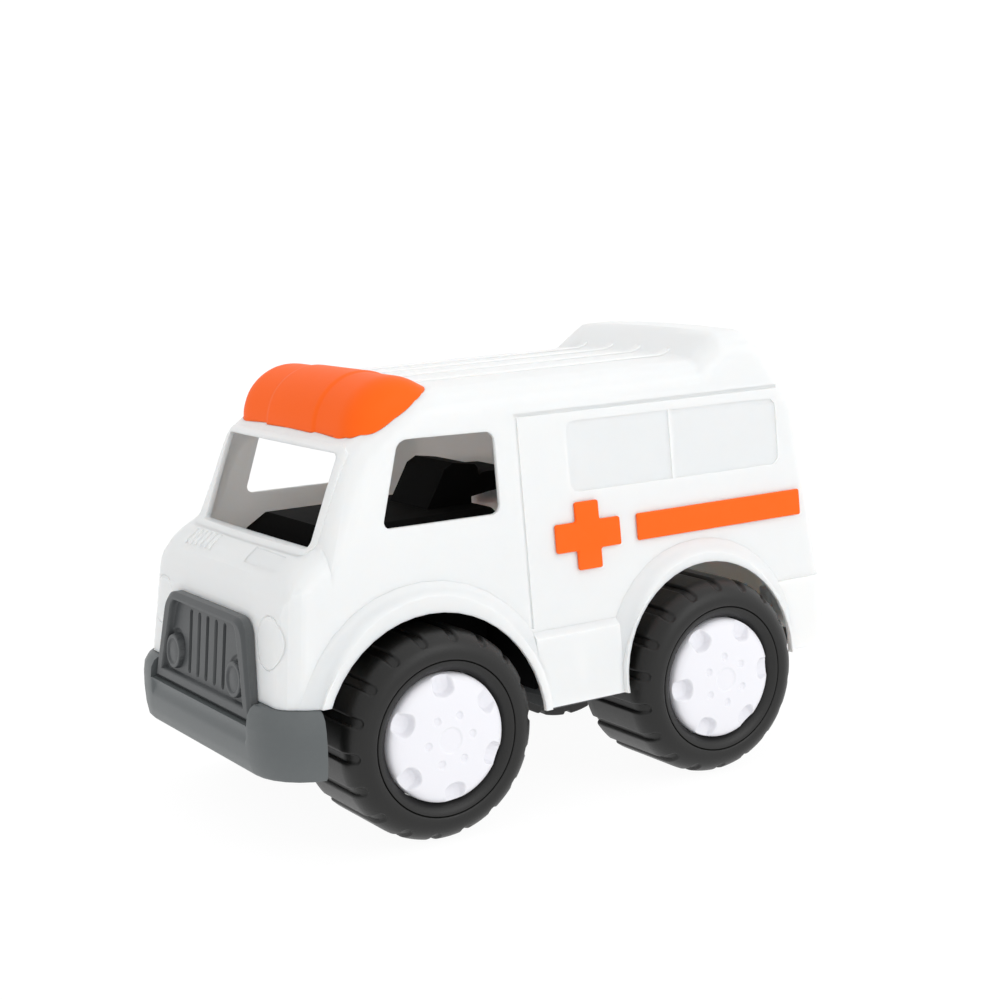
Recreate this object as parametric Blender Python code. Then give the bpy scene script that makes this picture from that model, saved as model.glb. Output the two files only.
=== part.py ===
"""Toy emergency van: a thin moulded body shell on a grey chassis, with two rolling wheelsets."""

import math

import bmesh
import bpy
from mathutils import Matrix, Vector

# Fit
GAP = 0.0003
SHELL = 0.0023
FAR = 0.3000
LIMIT_BOTTOM_Z = 0.0450

# Wheels and axles
TYRE_RADIUS = 0.050
TYRE_BORE = 0.0311
TYRE_INNER_X = 0.0440
TYRE_WALL = 0.0042
BEAD_RADIUS = 0.0368
TREAD_GROOVES = 18
GROOVE_DEPTH = 0.0016
GROOVE_ANGLE = math.radians(5.2)
HUB_CLEARANCE = 0.0005
HUB_RADIUS = TYRE_BORE - HUB_CLEARANCE
HUB_FACE_X = 0.0995
HUB_DOME = 0.0082
HUB_STEPS = 27
HUB_RIM_X = HUB_FACE_X - HUB_DOME
TYRE_SET_BACK = 0.0025
TYRE_OUTER_X = HUB_FACE_X - TYRE_SET_BACK
HUB_SLEEVE_RADIUS = 0.0070
LUG_CIRCLE = 0.0119
LUG_RADIUS = 0.0023
BOSS_RADIUS = 0.0064
SCOOP_INNER = 0.0165
SCOOP_OUTER = 0.0340
SCOOP_RADIUS = 0.0074
WHEELBASE = 0.162
FRONT_AXLE_Y = -WHEELBASE / 2
REAR_AXLE_Y = WHEELBASE / 2
AXLE_Z = TYRE_RADIUS
AXLE_RADIUS = 0.0025
AXLE_COVER = 0.0040
AXLE_HALF = HUB_FACE_X - AXLE_COVER
FRONT_PHASES = (math.radians(1.5), math.radians(4.4))
REAR_PHASES = (math.radians(10.0), math.radians(33.0))

# Side walls lean in as they rise
WALL_X = 0.08767
LEAN = 0.0864
LEAN_ANGLE = math.atan(LEAN)

# Body outline seen from the side: distance back, height, corner width and corner height
OUTLINE = (
    (-0.1670, 0.0880, 0.012, 0.012),
    (-0.1502, 0.1110, 0.012, 0.012),
    (-0.1478, 0.1200, 0.012, 0.012),
    (-0.1450, 0.1262, 0.012, 0.012),
    (-0.1408, 0.1314, 0.012, 0.012),
    (-0.1355, 0.1354, 0.012, 0.012),
    (-0.1275, 0.1402, 0.012, 0.014),
    (-0.1257, 0.1430, 0.013, 0.020),
    (-0.1108, 0.1824, 0.016, 0.034),
    (-0.1075, 0.1862, 0.016, 0.028),
    (-0.1010, 0.1905, 0.015, 0.021),
    (-0.0840, 0.2000, 0.014, 0.016),
    (-0.0720, 0.2056, 0.014, 0.014),
    (-0.0590, 0.2080, 0.014, 0.014),
    (0.0902, 0.2089, 0.014, 0.014),
    (0.0942, 0.2101, 0.014, 0.014),
    (0.1063, 0.2187, 0.014, 0.014),
    (0.1105, 0.2214, 0.014, 0.014),
    (0.1265, 0.2216, 0.014, 0.014),
    (0.1322, 0.2176, 0.014, 0.014),
    (0.1490, 0.1900, 0.012, 0.012),
    (0.1535, 0.1785, 0.010, 0.010),
    (0.1560, 0.1640, 0.010, 0.010),
    (0.1640, 0.1400, 0.010, 0.010),
    (0.1720, 0.1100, 0.010, 0.010),
)
ROOF_CROWN = 0.0012
ARC_STEPS = 4
BODY_BOTTOM_Z = 0.0507
NOSE_BOTTOM_Z = 0.0725
TAIL_BOTTOM_Z = 0.0532
NOSE_END_Y = -0.1290
TAIL_START_Y = 0.1330

# Body outline seen from above: height, front, back, back corner width and length
PLAN = (
    (0.0200, -0.1614, 0.1618, 0.0037, 0.0105),
    (0.0920, -0.1528, 0.1618, 0.0037, 0.0105),
    (0.1200, -0.1494, 0.1585, 0.0026, 0.0065),
    (0.1410, -0.1469, 0.1550, 0.0018, 0.0026),
    (0.1600, -0.1446, 0.1526, 0.0018, 0.0020),
    (0.2400, -0.1350, 0.1470, 0.0018, 0.0020),
)
NOSE_CORNER = (0.013, 0.014)

# Wheel arches and flares
FRONT_ARCH = (FRONT_AXLE_Y, 0.0472, 0.0597, 0.0734)
REAR_ARCH = (REAR_AXLE_Y, 0.0553, 0.0530, 0.0641)
FLARE = 0.0062
FLARE_HOLE = 0.0100
SILL = 0.0036
SILL_FRONT_Y = -0.0220
SILL_REAR_Y = 0.0270
SILL_TOP_Z = 0.0880
TAIL_BAND = 0.0018
TAIL_BAND_TOP_Z = 0.0900

# Windows
SIDE_WINDOW = ((-0.0981, 0.1469), (-0.0341, 0.1465), (-0.0341, 0.1857), (-0.0862, 0.1868))
SIDE_WINDOW_CORNERS = (0.0030, 0.0045, 0.0050, 0.0070)
SHIELD_LOW = (0.0580, 0.1396)
SHIELD_HIGH = (0.0590, 0.1820)
SHIELD_BORDER = 0.0055
SHIELD_REACH_Y = -0.0960
RELIEF = 0.0007
SHIELD_RELIEF = 0.0004

# Surface relief
DOOR_LINE_Y = -0.0216
DRIP_Z = 0.1915
LINE = 0.0016
PANEL = ((0.0065, 0.1515), (0.1388, 0.1512), (0.1394, 0.1857), (0.0065, 0.1862))
PANEL_DIVIDER_Y = 0.0700
ROOF_RIB_X = (0.0123, 0.0369)
ROOF_RIB_Y = (-0.0580, 0.0960)
ROOF_RIB = 0.0046
ROOF_RIB_RISE = 0.0010
LAMP_RING = (0.0612, 0.1003, 0.0126)
HOOD_VENT = (0.0190, 0.0505, -0.1425, -0.1350)
VENT_RIBS = 5
TAIL_DOOR = (0.0600, 0.0935, 0.1740)
TAIL_WINDOW = (0.0085, 0.1220, 0.0530, 0.1580)

# Grille and bumper
GRILLE_LOW = (0.0562, 0.0630)
GRILLE_HIGH = (0.0456, 0.1102)
GRILLE_FACE_Y = -0.1612
GRILLE_LEAN = 0.135
GRILLE_RECESS = 0.0028
RECESS_LOW = (0.0475, 0.0691)
RECESS_HIGH = (0.0366, 0.1069)
GRILLE_SLOTS = 5
SLOT_PITCH = 0.0098
SLOT_SIZE = (0.0034, 0.0712, 0.1022)
HEADLAMP = (0.0353, 0.0795, 0.0088)
GRILLE_BACK_Y = -0.1566
BUMPER_BOTTOM_Z = 0.0400
BUMPER_TOP_Z = NOSE_BOTTOM_Z - GAP
BUMPER_END_Y = -0.1395
BUMPER_HALF = 0.0816
BUMPER_Y = -0.1540
BUMPER_CORNER = (0.022, 0.021)
BUMPER_WALL = 0.0075
BUMPER_STAGES = (
    (0.0000, 0.0070),
    (0.0016, 0.0082),
    (0.0070, 0.0092),
    (0.0150, 0.0096),
    (0.0225, 0.0094),
    (0.0278, 0.0086),
    (0.0308, 0.0068),
    (0.0322, 0.0048),
)

# Roof light
LIGHT_OUTLINE = (
    (-0.1048, 0.1850),
    (-0.1052, 0.1890),
    (-0.1042, 0.1950),
    (-0.1008, 0.2026),
    (-0.0950, 0.2088),
    (-0.0875, 0.2130),
    (-0.0795, 0.2145),
    (-0.0710, 0.2134),
    (-0.0640, 0.2103),
    (-0.0580, 0.2062),
    (-0.0555, 0.1990),
    (-0.0820, 0.1870),
)
LIGHT_MIDDLE = (-0.0830, 0.1900)
LIGHT_STATIONS = (
    (0.0247, 1.032),
    (0.0253, 1.000),
    (0.0470, 1.000),
    (0.0525, 0.975),
    (0.0570, 0.925),
    (0.0605, 0.850),
    (0.0632, 0.745),
    (0.0648, 0.620),
    (0.0655, 0.480),
)

# Side badges
BADGE = 0.0018
CROSS = (0.0143, 0.1302, 0.0384, 0.0332, 0.0140)
STRIPE = (0.0440, 0.1500, 0.1235, 0.1369)

# Cab insert
DECK_Y = (-0.1040, -0.0150)
DECK_BOTTOM_Z = 0.1120
DECK_SIDE = (0.0650, 0.1290)
DECK_CROWN = (0.0360, 0.1425)
DECK_WALL = 0.0040
SEAT_HALF = 0.0190
SEAT_PROFILE = (
    (-0.0440, 0.1390),
    (-0.0310, 0.1614),
    (-0.0257, 0.1642),
    (-0.0134, 0.1623),
    (-0.0115, 0.1600),
    (-0.0113, 0.1560),
    (-0.0090, 0.1574),
    (-0.0055, 0.1579),
    (0.0120, 0.1570),
    (0.0140, 0.1545),
    (0.0135, 0.1500),
    (-0.0160, 0.1460),
    (-0.0160, 0.1300),
    (-0.0440, 0.1300),
)
LEG_X = 0.0310
LEG_HALF = 0.0020
LINER_HALF = 0.0745
LINER_FRONT_Y = -0.1340
LINER_TOP_Z = 0.1125
LINER_WALL = 0.0026

# Chassis
PLATE_TOP_Z = 0.0575
PLATE = 0.0027
BELLY_Z = 0.0489
BELLY_Y = (-0.0160, 0.0220)
BELLY_WALL = 0.0080
KEEL_HALF = 0.0380
PLATE_HALF = 0.0834
TAIL_PLATE_HALF = 0.0780
BEARING_HALF = (0.0060, 0.0080)
BEARING_X = 0.0300
CLAMP = 0.0026
CLAMP_TOP_Z = AXLE_Z - AXLE_RADIUS - 2 * GAP
CLAMP_SCREW = (0.0180, 0.0058)
CLAMP_POST_RADIUS = 0.0036
CLAMP_HOLE_TOP_Z = PLATE_TOP_Z - 0.0015
POST_RADIUS = 0.0045
POSTS = ((0.0798, 0.0025), (0.0520, 0.1495))
POST_TOP_Z = 0.0800
SCREW_RADIUS = 0.0015
SCREW_HEAD = 0.0030
SCREW_HEAD_HEIGHT = 0.0018

FINISHES = {
    "white": ((0.86, 0.87, 0.87, 1.0), 0.38, 0.0),
    "orange": ((0.95, 0.12, 0.02, 1.0), 0.35, 0.0),
    "grey": ((0.10, 0.11, 0.115, 1.0), 0.45, 0.0),
    "black": ((0.012, 0.012, 0.012, 1.0), 0.5, 0.0),
    "tyre": ((0.020, 0.020, 0.021, 1.0), 0.62, 0.0),
    "hub": ((0.84, 0.83, 0.88, 1.0), 0.4, 0.0),
    "steel": ((0.55, 0.56, 0.58, 1.0), 0.28, 1.0),
}


def clear_scene():
    """Removes what the startup scene holds."""
    for item in list(bpy.data.objects):
        bpy.data.objects.remove(item)


def finish_of(name, kind):
    """A material of its own for one node."""
    colour, roughness, metallic = FINISHES[kind]
    material = bpy.data.materials.new(name + "_finish")
    material.use_nodes = True
    shader = material.node_tree.nodes["Principled BSDF"]
    shader.inputs["Base Color"].default_value = colour
    shader.inputs["Roughness"].default_value = roughness
    shader.inputs["Metallic"].default_value = metallic
    return material


def from_bmesh(name, bm):
    """A linked object that holds this mesh, with its faces turned outwards."""
    bmesh.ops.remove_doubles(bm, verts=bm.verts, dist=1e-7)
    bmesh.ops.recalc_face_normals(bm, faces=bm.faces)
    mesh = bpy.data.meshes.new(name)
    bm.to_mesh(mesh)
    bm.free()
    obj = bpy.data.objects.new(name, mesh)
    bpy.context.scene.collection.objects.link(obj)
    return obj


def loft(name, rings, closed=False):
    """Joins rings of equal length, with caps on the first and the last unless closed."""
    bm = bmesh.new()
    loops = [[bm.verts.new(p) for p in ring] for ring in rings]
    count = len(loops[0])
    pairs = list(zip(loops, loops[1:]))
    if closed:
        pairs.append((loops[-1], loops[0]))
    for low, high in pairs:
        for i in range(count):
            j = (i + 1) % count
            bm.faces.new((low[i], low[j], high[j], high[i]))
    if not closed:
        bm.faces.new(loops[0])
        bm.faces.new(loops[-1])
    return from_bmesh(name, bm)


def prism(name, outline, axis, low, high):
    """Extrudes a 2-D outline along an axis: x takes (y, z), y takes (x, z) and z takes (x, y)."""
    place = {
        "x": lambda p, t: (t, p[0], p[1]),
        "y": lambda p, t: (p[0], t, p[1]),
        "z": lambda p, t: (p[0], p[1], t),
    }[axis]
    return loft(name, [[place(p, t) for p in outline] for t in (low, high)])


def box(name, low, high):
    """A block between two corners."""
    outline = ((low[0], low[1]), (high[0], low[1]), (high[0], high[1]), (low[0], high[1]))
    return prism(name, outline, "z", low[2], high[2])


def revolve(name, profile, centre, steps, phase=0.0):
    """Turns a profile of (x, radius) pairs round an axis along X through centre (y, z)."""
    rings = []
    for i in range(steps):
        angle = phase + 2 * math.pi * i / steps
        rings.append([turned(x, r, angle, centre) for x, r in profile])
    return loft(name, rings, closed=True)


def turned(x, radius, angle, centre):
    """A point at this radius and angle round an axis along X."""
    return (x, centre[0] + radius * math.cos(angle), centre[1] + radius * math.sin(angle))


def rod(name, centre, radius, low, high, steps=24, phase=0.0):
    """A cylinder along X through centre (y, z)."""
    ring = [turned(0.0, radius, phase + 2 * math.pi * i / steps, centre)[1:] for i in range(steps)]
    return prism(name, ring, "x", low, high)


def pin(name, centre, radius, low, high, steps=16):
    """A cylinder along Z through centre (x, y)."""
    angles = [2 * math.pi * i / steps for i in range(steps)]
    ring = [(centre[0] + radius * math.cos(a), centre[1] + radius * math.sin(a)) for a in angles]
    return prism(name, ring, "z", low, high)


def combine(target, tool, operation):
    """Applies an exact Boolean of tool to target and removes tool."""
    modifier = target.modifiers.new("combine", "BOOLEAN")
    modifier.operation = operation
    modifier.solver = "EXACT"
    modifier.object = tool
    graph = bpy.context.evaluated_depsgraph_get()
    mesh = bpy.data.meshes.new_from_object(target.evaluated_get(graph))
    target.modifiers.clear()
    target.data = mesh
    bpy.data.objects.remove(tool)
    return target


def cut(target, tool):
    """Takes tool away from target."""
    return combine(target, tool, "DIFFERENCE")


def join(target, tool):
    """Adds tool to target."""
    return combine(target, tool, "UNION")


def common(target, tool):
    """Keeps what target and tool share."""
    return combine(target, tool, "INTERSECT")


def copy_of(obj, mirrored=False):
    """A second object with its own mesh, mirrored across the middle plane when asked."""
    twin = bpy.data.objects.new(obj.name + "_copy", obj.data.copy())
    bpy.context.scene.collection.objects.link(twin)
    if mirrored:
        twin.data.transform(Matrix.Scale(-1.0, 4, Vector((1.0, 0.0, 0.0))))
        twin.data.flip_normals()
    return twin


def rounded(points, radius, steps=4):
    """An outline with each corner replaced by an arc: one radius for all, or one for each corner."""
    result = []
    count = len(points)
    radii = radius if isinstance(radius, tuple) else (radius,) * count
    for i, radius in enumerate(radii):
        here = Vector(points[i])
        back = (Vector(points[i - 1]) - here).normalized()
        on = (Vector(points[(i + 1) % count]) - here).normalized()
        half = back.angle(on) / 2
        reach = radius / math.tan(half)
        centre = here + (back + on).normalized() * radius / math.sin(half)
        start = here + back * reach - centre
        end = here + on * reach - centre
        for k in range(steps + 1):
            ray = start.lerp(end, k / steps)
            result.append(tuple(centre + ray.normalized() * radius))
    return result


def mirrored_outline(low, high):
    """A trapezium from two (half width, height) pairs."""
    return ((-low[0], low[1]), (low[0], low[1]), (high[0], high[1]), (-high[0], high[1]))


def wall_x(z):
    """Half width of the body at this height."""
    return WALL_X - LEAN * z


def grown_outline(grow):
    """The side outline moved outwards by grow, as (y, z, corner width, corner height)."""
    points = [Vector((y, z)) for y, z, _, _ in OUTLINE]
    stations = []
    for i, point in enumerate(points):
        back = (point - points[max(i - 1, 0)]).normalized() if i else None
        on = (points[i + 1] - point).normalized() if i + 1 < len(points) else None
        along = ((back or on) + (on or back)).normalized()
        side = Vector((-along.y, along.x))
        shrink = side.dot(Vector((-(on or back).y, (on or back).x)))
        moved = point + side * grow / max(shrink, 0.6)
        wide, tall = OUTLINE[i][2:]
        stations.append((moved.x, moved.y, max(wide + grow, 0.002), max(tall + grow, 0.002)))
    return stations


def body_ring(y, top, wide, tall, grow, bottom):
    """One cross section of the body, from the bottom of one side over the roof to the other."""
    centre_z = top - tall
    edge_x = wall_x(centre_z) + grow
    half = [(wall_x(bottom) + grow, bottom)]
    for k in range(ARC_STEPS + 1):
        angle = math.pi / 2 * k / ARC_STEPS
        z = centre_z + tall * math.sin(angle)
        half.append((edge_x - LEAN * (z - centre_z) - wide * (1 - math.cos(angle)), z))
    half.append((half[-1][0] / 2, top + ROOF_CROWN * 0.75))
    ring = half + [(0.0, top + ROOF_CROWN)] + [(-x, z) for x, z in reversed(half)]
    return [(x, y, z) for x, z in ring]


def plan_points(half, front, rear, nose, tail):
    """A rounded rectangle seen from above, given half its width and its two ends."""
    right = []
    for sign, edge, (rx, ry), steps in ((-1, front, nose, 7), (1, rear, tail, 5)):
        arc = []
        for k in range(steps + 1):
            angle = math.pi / 2 * k / steps
            x = half - rx + rx * math.sin(angle)
            arc.append((x, edge - sign * (ry - ry * math.cos(angle))))
        right += arc if sign < 0 else list(reversed(arc))
    return right + [(-x, y) for x, y in reversed(right)]


def plan_ring(level, grow):
    """The body seen from above at one level of its plan."""
    z, front, rear, wide, long = level
    half = wall_x(z) + grow + 0.0004
    nose = (NOSE_CORNER[0] + grow, NOSE_CORNER[1] + grow)
    tail = (max(wide + grow, 0.001), max(long + grow, 0.001))
    return [(x, y, z) for x, y in plan_points(half, front - grow, rear + grow, nose, tail)]


def body_volume(name, grow, bottom):
    """The solid outline of the body, moved outwards by grow."""
    volume = loft(name, [body_ring(*station, grow, bottom) for station in grown_outline(grow)])
    return common(volume, loft(name + "_plan", [plan_ring(level, grow) for level in PLAN]))


def flare(name, arch, grow):
    """The raised ring round one wheel arch, kept within the flare's depth of the wall."""
    y, z, lip, edge = arch
    face = wall_x(z + lip) + FLARE
    profile = (
        (0.060, FLARE_HOLE),
        (0.060, edge + grow),
        (wall_x(z + edge) + 0.0006, edge + grow),
        (face - 0.0040, edge - 0.0018 + grow),
        (face - 0.0012, edge - 0.0050 + grow),
        (face + 0.0012, edge - 0.0092 + grow),
        (face + 0.0100, edge - 0.0110 + grow),
        (face + 0.0100, FLARE_HOLE),
    )
    return revolve(name, profile, (y, z), 36)


def dressed_volume(name, grow, bottom):
    """The body with its flares, sills and tail band, moved outwards by grow."""
    volume = body_volume(name, grow, bottom)
    proud = None
    for arch in (FRONT_ARCH, REAR_ARCH):
        ring = flare(name + "_flare", arch, grow)
        proud = ring if proud is None else join(proud, ring)
    proud = common(proud, body_volume(name + "_limit", grow + FLARE, bottom))
    sill = box(name + "_sill", (0.060, SILL_FRONT_Y, bottom - 0.002), (0.120, SILL_REAR_Y, 0.120))
    limit = body_volume(name + "_sill_limit", grow + SILL, bottom)
    sill = common(sill, limit)
    slope = ((0.050, SILL_TOP_Z + grow), (0.0795, SILL_TOP_Z + grow), (0.100, 0.0720 + grow))
    top = prism(name + "_slope", slope + ((0.100, 0.150), (0.050, 0.150)), "y", -FAR, FAR)
    proud = join(proud, cut(sill, top))
    join(volume, copy_of(proud, mirrored=True))
    return join(volume, proud)


def tail_band():
    """The thicker lower edge across the back of the body."""
    band = box("band", (-FAR, TAIL_START_Y - 0.004, TAIL_BOTTOM_Z), (FAR, FAR, TAIL_BAND_TOP_Z))
    return common(band, body_volume("band_limit", TAIL_BAND, LIMIT_BOTTOM_Z))


def wall_strip(name, outline, depth, height):
    """A prism that follows the left wall: outline in (y, z), from depth to height off the wall."""
    low = [(wall_x(z) + depth, y, z) for y, z in outline]
    high = [(wall_x(z) + height, y, z) for y, z in outline]
    return loft(name, [low, high])


def stroke(y0, z0, y1, z1, width=LINE):
    """The outline of a straight line of this width, in (y, z)."""
    start, end = Vector((y0, z0)), Vector((y1, z1))
    along = (end - start).normalized() * width / 2
    side = Vector((-along.y, along.x))
    ends = (start - along - side, end + along - side, end + along + side, start - along + side)
    return [tuple(p) for p in ends]


def both_sides(tool):
    """The tool and its mirror image as one object."""
    return join(tool, copy_of(tool, mirrored=True))


def side_relief():
    """Shallow cuts in the side walls: door line, drip line and the blind rear windows."""
    deep, clear = -RELIEF, 0.004
    tool = wall_strip("relief", rounded(PANEL, 0.0050, 3), deep, clear)
    divider = stroke(PANEL_DIVIDER_Y, 0.150, PANEL_DIVIDER_Y, 0.188)
    cut(tool, wall_strip("divider", divider, deep - 0.001, 2 * clear))
    line = stroke(DOOR_LINE_Y, SILL_TOP_Z + 0.002, DOOR_LINE_Y, DRIP_Z)
    join(tool, wall_strip("door_line", line, deep, clear))
    drip = stroke(DOOR_LINE_Y, DRIP_Z, 0.1400, DRIP_Z, LINE * 1.2)
    join(tool, wall_strip("drip", drip, deep * 1.3, clear))
    return both_sides(tool)


def lamp_relief(skin):
    """Engraved circles on the front corners."""
    x, z, radius = LAMP_RING
    angles = [2 * math.pi * i / 24 for i in range(24)]
    ring = [(x + radius * math.cos(a), z + radius * math.sin(a)) for a in angles]
    core = [(x + (radius - 0.0008) * math.cos(a), z + (radius - 0.0008) * math.sin(a)) for a in angles]
    tool = prism("lamp", ring, "y", -FAR, NOSE_END_Y)
    cut(tool, prism("lamp_core", core, "y", -2 * FAR, 0.0))
    return cut(both_sides(tool), skin)


def hood_relief(skin):
    """Two shallow panels in the hood, the right one ribbed."""
    inner, outer, front, rear = HOOD_VENT
    tool = box("vent", (inner, front, 0.0), (outer, rear, FAR))
    twin = copy_of(tool, mirrored=True)
    pitch = (outer - inner) / (VENT_RIBS + 0.5)
    for k in range(VENT_RIBS):
        x = -outer + (k + 0.5) * pitch
        cut(twin, box("rib", (x, -FAR, -FAR), (x + pitch / 2, FAR, 2 * FAR)))
    tool = join(tool, twin)
    return cut(tool, skin)


def rectangle(low, high):
    """The four corners of a rectangle."""
    return (low, (high[0], low[1]), high, (low[0], high[1]))


def tail_relief(skin):
    """Door outlines and blind windows across the back."""
    half, low, high = TAIL_DOOR
    reach = (TAIL_START_Y, FAR)
    outer = rectangle((-half, low), (half, high))
    inner = rectangle((-half + LINE, low + LINE), (half - LINE, high - LINE))
    tool = prism("doors", rounded(outer, 0.005, 3), "y", *reach)
    cut(tool, prism("doors_core", rounded(inner, 0.0035, 3), "y", 0.0, 2 * FAR))
    join(tool, box("door_gap", (-LINE / 2, reach[0], low + LINE / 2), (LINE / 2, reach[1], high - LINE / 2)))
    pane = rounded(rectangle(TAIL_WINDOW[:2], TAIL_WINDOW[2:]), 0.005, 3)
    join(tool, both_sides(prism("pane", pane, "y", *reach)))
    return cut(tool, skin)


def roof_ribs():
    """Four ribs along the roof."""
    tool = None
    for x in ROOF_RIB_X:
        for side in (-1, 1):
            low = (side * x - ROOF_RIB / 2, ROOF_RIB_Y[0], POST_TOP_Z)
            high = (side * x + ROOF_RIB / 2, ROOF_RIB_Y[1], FAR)
            rib = box("rib", low, high)
            tool = rib if tool is None else join(tool, rib)
    return common(tool, body_volume("rib_limit", ROOF_RIB_RISE, LIMIT_BOTTOM_Z))


def shield_frame():
    """The raised border round the windshield."""
    border = SHIELD_BORDER
    low = (SHIELD_LOW[0] + border, SHIELD_LOW[1] - border * 0.4)
    high = (SHIELD_HIGH[0] + border, SHIELD_HIGH[1] + border * 0.6)
    tool = prism("frame", rounded(mirrored_outline(low, high), 0.006, 3), "y", -FAR, FRONT_AXLE_Y)
    return common(tool, body_volume("frame_limit", SHIELD_RELIEF, LIMIT_BOTTOM_Z))


def arch_cutter(arch):
    """A round cutter across the whole body at one axle."""
    y, z, lip, _ = arch
    return rod("arch", (y, z), lip, -FAR, FAR, 48)


def screw_posts():
    """Posts inside the body that take the screws from below."""
    tool = None
    for x, y in POSTS:
        for side in (-1, 1):
            post = pin("post", (side * x, y), POST_RADIUS, PLATE_TOP_Z + GAP, POST_TOP_Z, 12)
            tool = post if tool is None else join(tool, post)
    for side in (-1, 1):
        low = (side * POSTS[1][0] - 0.001, POSTS[1][1], PLATE_TOP_Z + 0.002)
        high = (side * POSTS[1][0] + 0.001, PLAN[1][2] - SHELL / 2, POST_TOP_Z)
        join(tool, box("web", low, high))
    for x, y in POSTS:
        for side in (-1, 1):
            cut(tool, pin("bore", (side * x, y), SCREW_RADIUS + GAP, 0.0, POST_TOP_Z - 0.004, 12))
    return tool


def body_shell():
    """The white body: hollow, open below, with its windows and arches."""
    body = dressed_volume("body_shell", 0.0, BODY_BOTTOM_Z)
    join(body, tail_band())
    join(body, roof_ribs())
    join(body, shield_frame())
    cut(body, lamp_relief(body_volume("skin", -RELIEF * 0.8, LIMIT_BOTTOM_Z)))
    cut(body, hood_relief(body_volume("skin", -RELIEF * 0.8, LIMIT_BOTTOM_Z)))
    cut(body, tail_relief(body_volume("skin", -RELIEF * 0.8, LIMIT_BOTTOM_Z)))
    cut(body, side_relief())
    cut(body, dressed_volume("inside", -SHELL, 0.030))
    nose = box("nose", (-FAR, -FAR, 0.0), (FAR, NOSE_END_Y, NOSE_BOTTOM_Z))
    cut(body, nose)
    cut(body, box("tail", (-FAR, TAIL_START_Y, 0.0), (FAR, FAR, TAIL_BOTTOM_Z)))
    for arch in (FRONT_ARCH, REAR_ARCH):
        cut(body, arch_cutter(arch))
    cut(body, prism("window", rounded(SIDE_WINDOW, SIDE_WINDOW_CORNERS), "x", -FAR, FAR))
    shield = rounded(mirrored_outline(SHIELD_LOW, SHIELD_HIGH), 0.0025, 3)
    cut(body, prism("shield", shield, "y", -FAR, SHIELD_REACH_Y))
    return join(body, screw_posts())


def grille():
    """The leaning grille: a frame round a recessed panel with slots and two lamps."""
    depth = GRILLE_BACK_Y - GRILLE_FACE_Y
    outline = rounded(mirrored_outline(GRILLE_LOW, GRILLE_HIGH), 0.0065, 4)
    panel = prism("grille", square_feet(outline), "y", 0.0, depth)
    recess = rounded(mirrored_outline(RECESS_LOW, RECESS_HIGH), 0.0035, 3)
    cut(panel, prism("recess", recess, "y", -0.002, GRILLE_RECESS))
    width, low, high = SLOT_SIZE
    for k in range(GRILLE_SLOTS):
        x = (k - (GRILLE_SLOTS - 1) / 2) * SLOT_PITCH
        slot = rounded(rectangle((x - width / 2, low), (x + width / 2, high)), width * 0.45, 3)
        cut(panel, prism("slot", slot, "y", -0.002, GRILLE_RECESS + 0.0012))
    for side in (-1, 1):
        join(panel, headlamp(side))
    body_lean = (PLAN[1][1] - PLAN[0][1]) / (PLAN[1][0] - PLAN[0][0])
    for vertex in panel.data.vertices:
        rise = vertex.co.z - GRILLE_LOW[1]
        lean = GRILLE_LEAN + (body_lean - GRILLE_LEAN) * vertex.co.y / depth
        vertex.co.y += GRILLE_FACE_Y + lean * rise
    return panel


def square_feet(outline):
    """Keeps the two upper corners round and the two lower ones square."""
    half, low = GRILLE_LOW
    upper = [p for p in outline if p[1] > low + 0.010]
    return [(half, low)] + upper + [(-half, low)]


def headlamp(side):
    """A round lamp with a rim and a shallow dish, standing in the recess."""
    x, z, radius = HEADLAMP
    face = 0.0006
    steps = 16
    angles = [2 * math.pi * i / steps for i in range(steps)]
    stages = (
        (radius, GRILLE_RECESS + 0.0010),
        (radius, face + 0.0006),
        (radius - 0.0006, face),
        (radius - 0.0014, face),
        (radius - 0.0020, face + 0.0009),
    )
    rings = [
        [(side * x + r * math.cos(a), y, z + r * math.sin(a)) for a in angles] for r, y in stages
    ]
    return loft("lamp", rings)


def bumper_ring(z, grow):
    """The bumper seen from above, moved outwards by grow."""
    corner = (BUMPER_CORNER[0] + grow, BUMPER_CORNER[1] + grow)
    points = plan_points(BUMPER_HALF + grow, BUMPER_Y - grow, 0.0, corner, (0.002, 0.002))
    return [(x, y, z) for x, y in points]


def bumper():
    """A thick bar across the nose that wraps round both corners."""
    scale = (BUMPER_TOP_Z - BUMPER_BOTTOM_Z) / BUMPER_STAGES[-1][0]
    bar = loft("bumper", [bumper_ring(BUMPER_BOTTOM_Z + z * scale, g) for z, g in BUMPER_STAGES])
    core = loft("core", [bumper_ring(z, 0.0022 - BUMPER_WALL) for z in (0.0, FAR)])
    cut(bar, core)
    cut(bar, box("rear", (-FAR, BUMPER_END_Y, 0.0), (FAR, FAR, FAR)))
    low = (GRILLE_LOW[0] + 2 * GAP, GRILLE_LOW[1] - GAP)
    seat = mirrored_outline(low, (low[0], FAR))
    return cut(bar, prism("seat", seat, "y", -FAR, GRILLE_BACK_Y + 5 * GAP))


def roof_light():
    """The domed light that wraps the front edge of the roof, with rounded ends."""
    middle = Vector(LIGHT_MIDDLE)
    stations = [(-x, s) for x, s in reversed(LIGHT_STATIONS)] + list(LIGHT_STATIONS)
    rings = []
    for x, scale in stations:
        points = [middle + (Vector(p) - middle) * scale for p in LIGHT_OUTLINE]
        rings.append([(x, p.x, p.y) for p in points])
    return cut(loft("roof_light", rings), body_volume("under", GAP, LIMIT_BOTTOM_Z))


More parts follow.
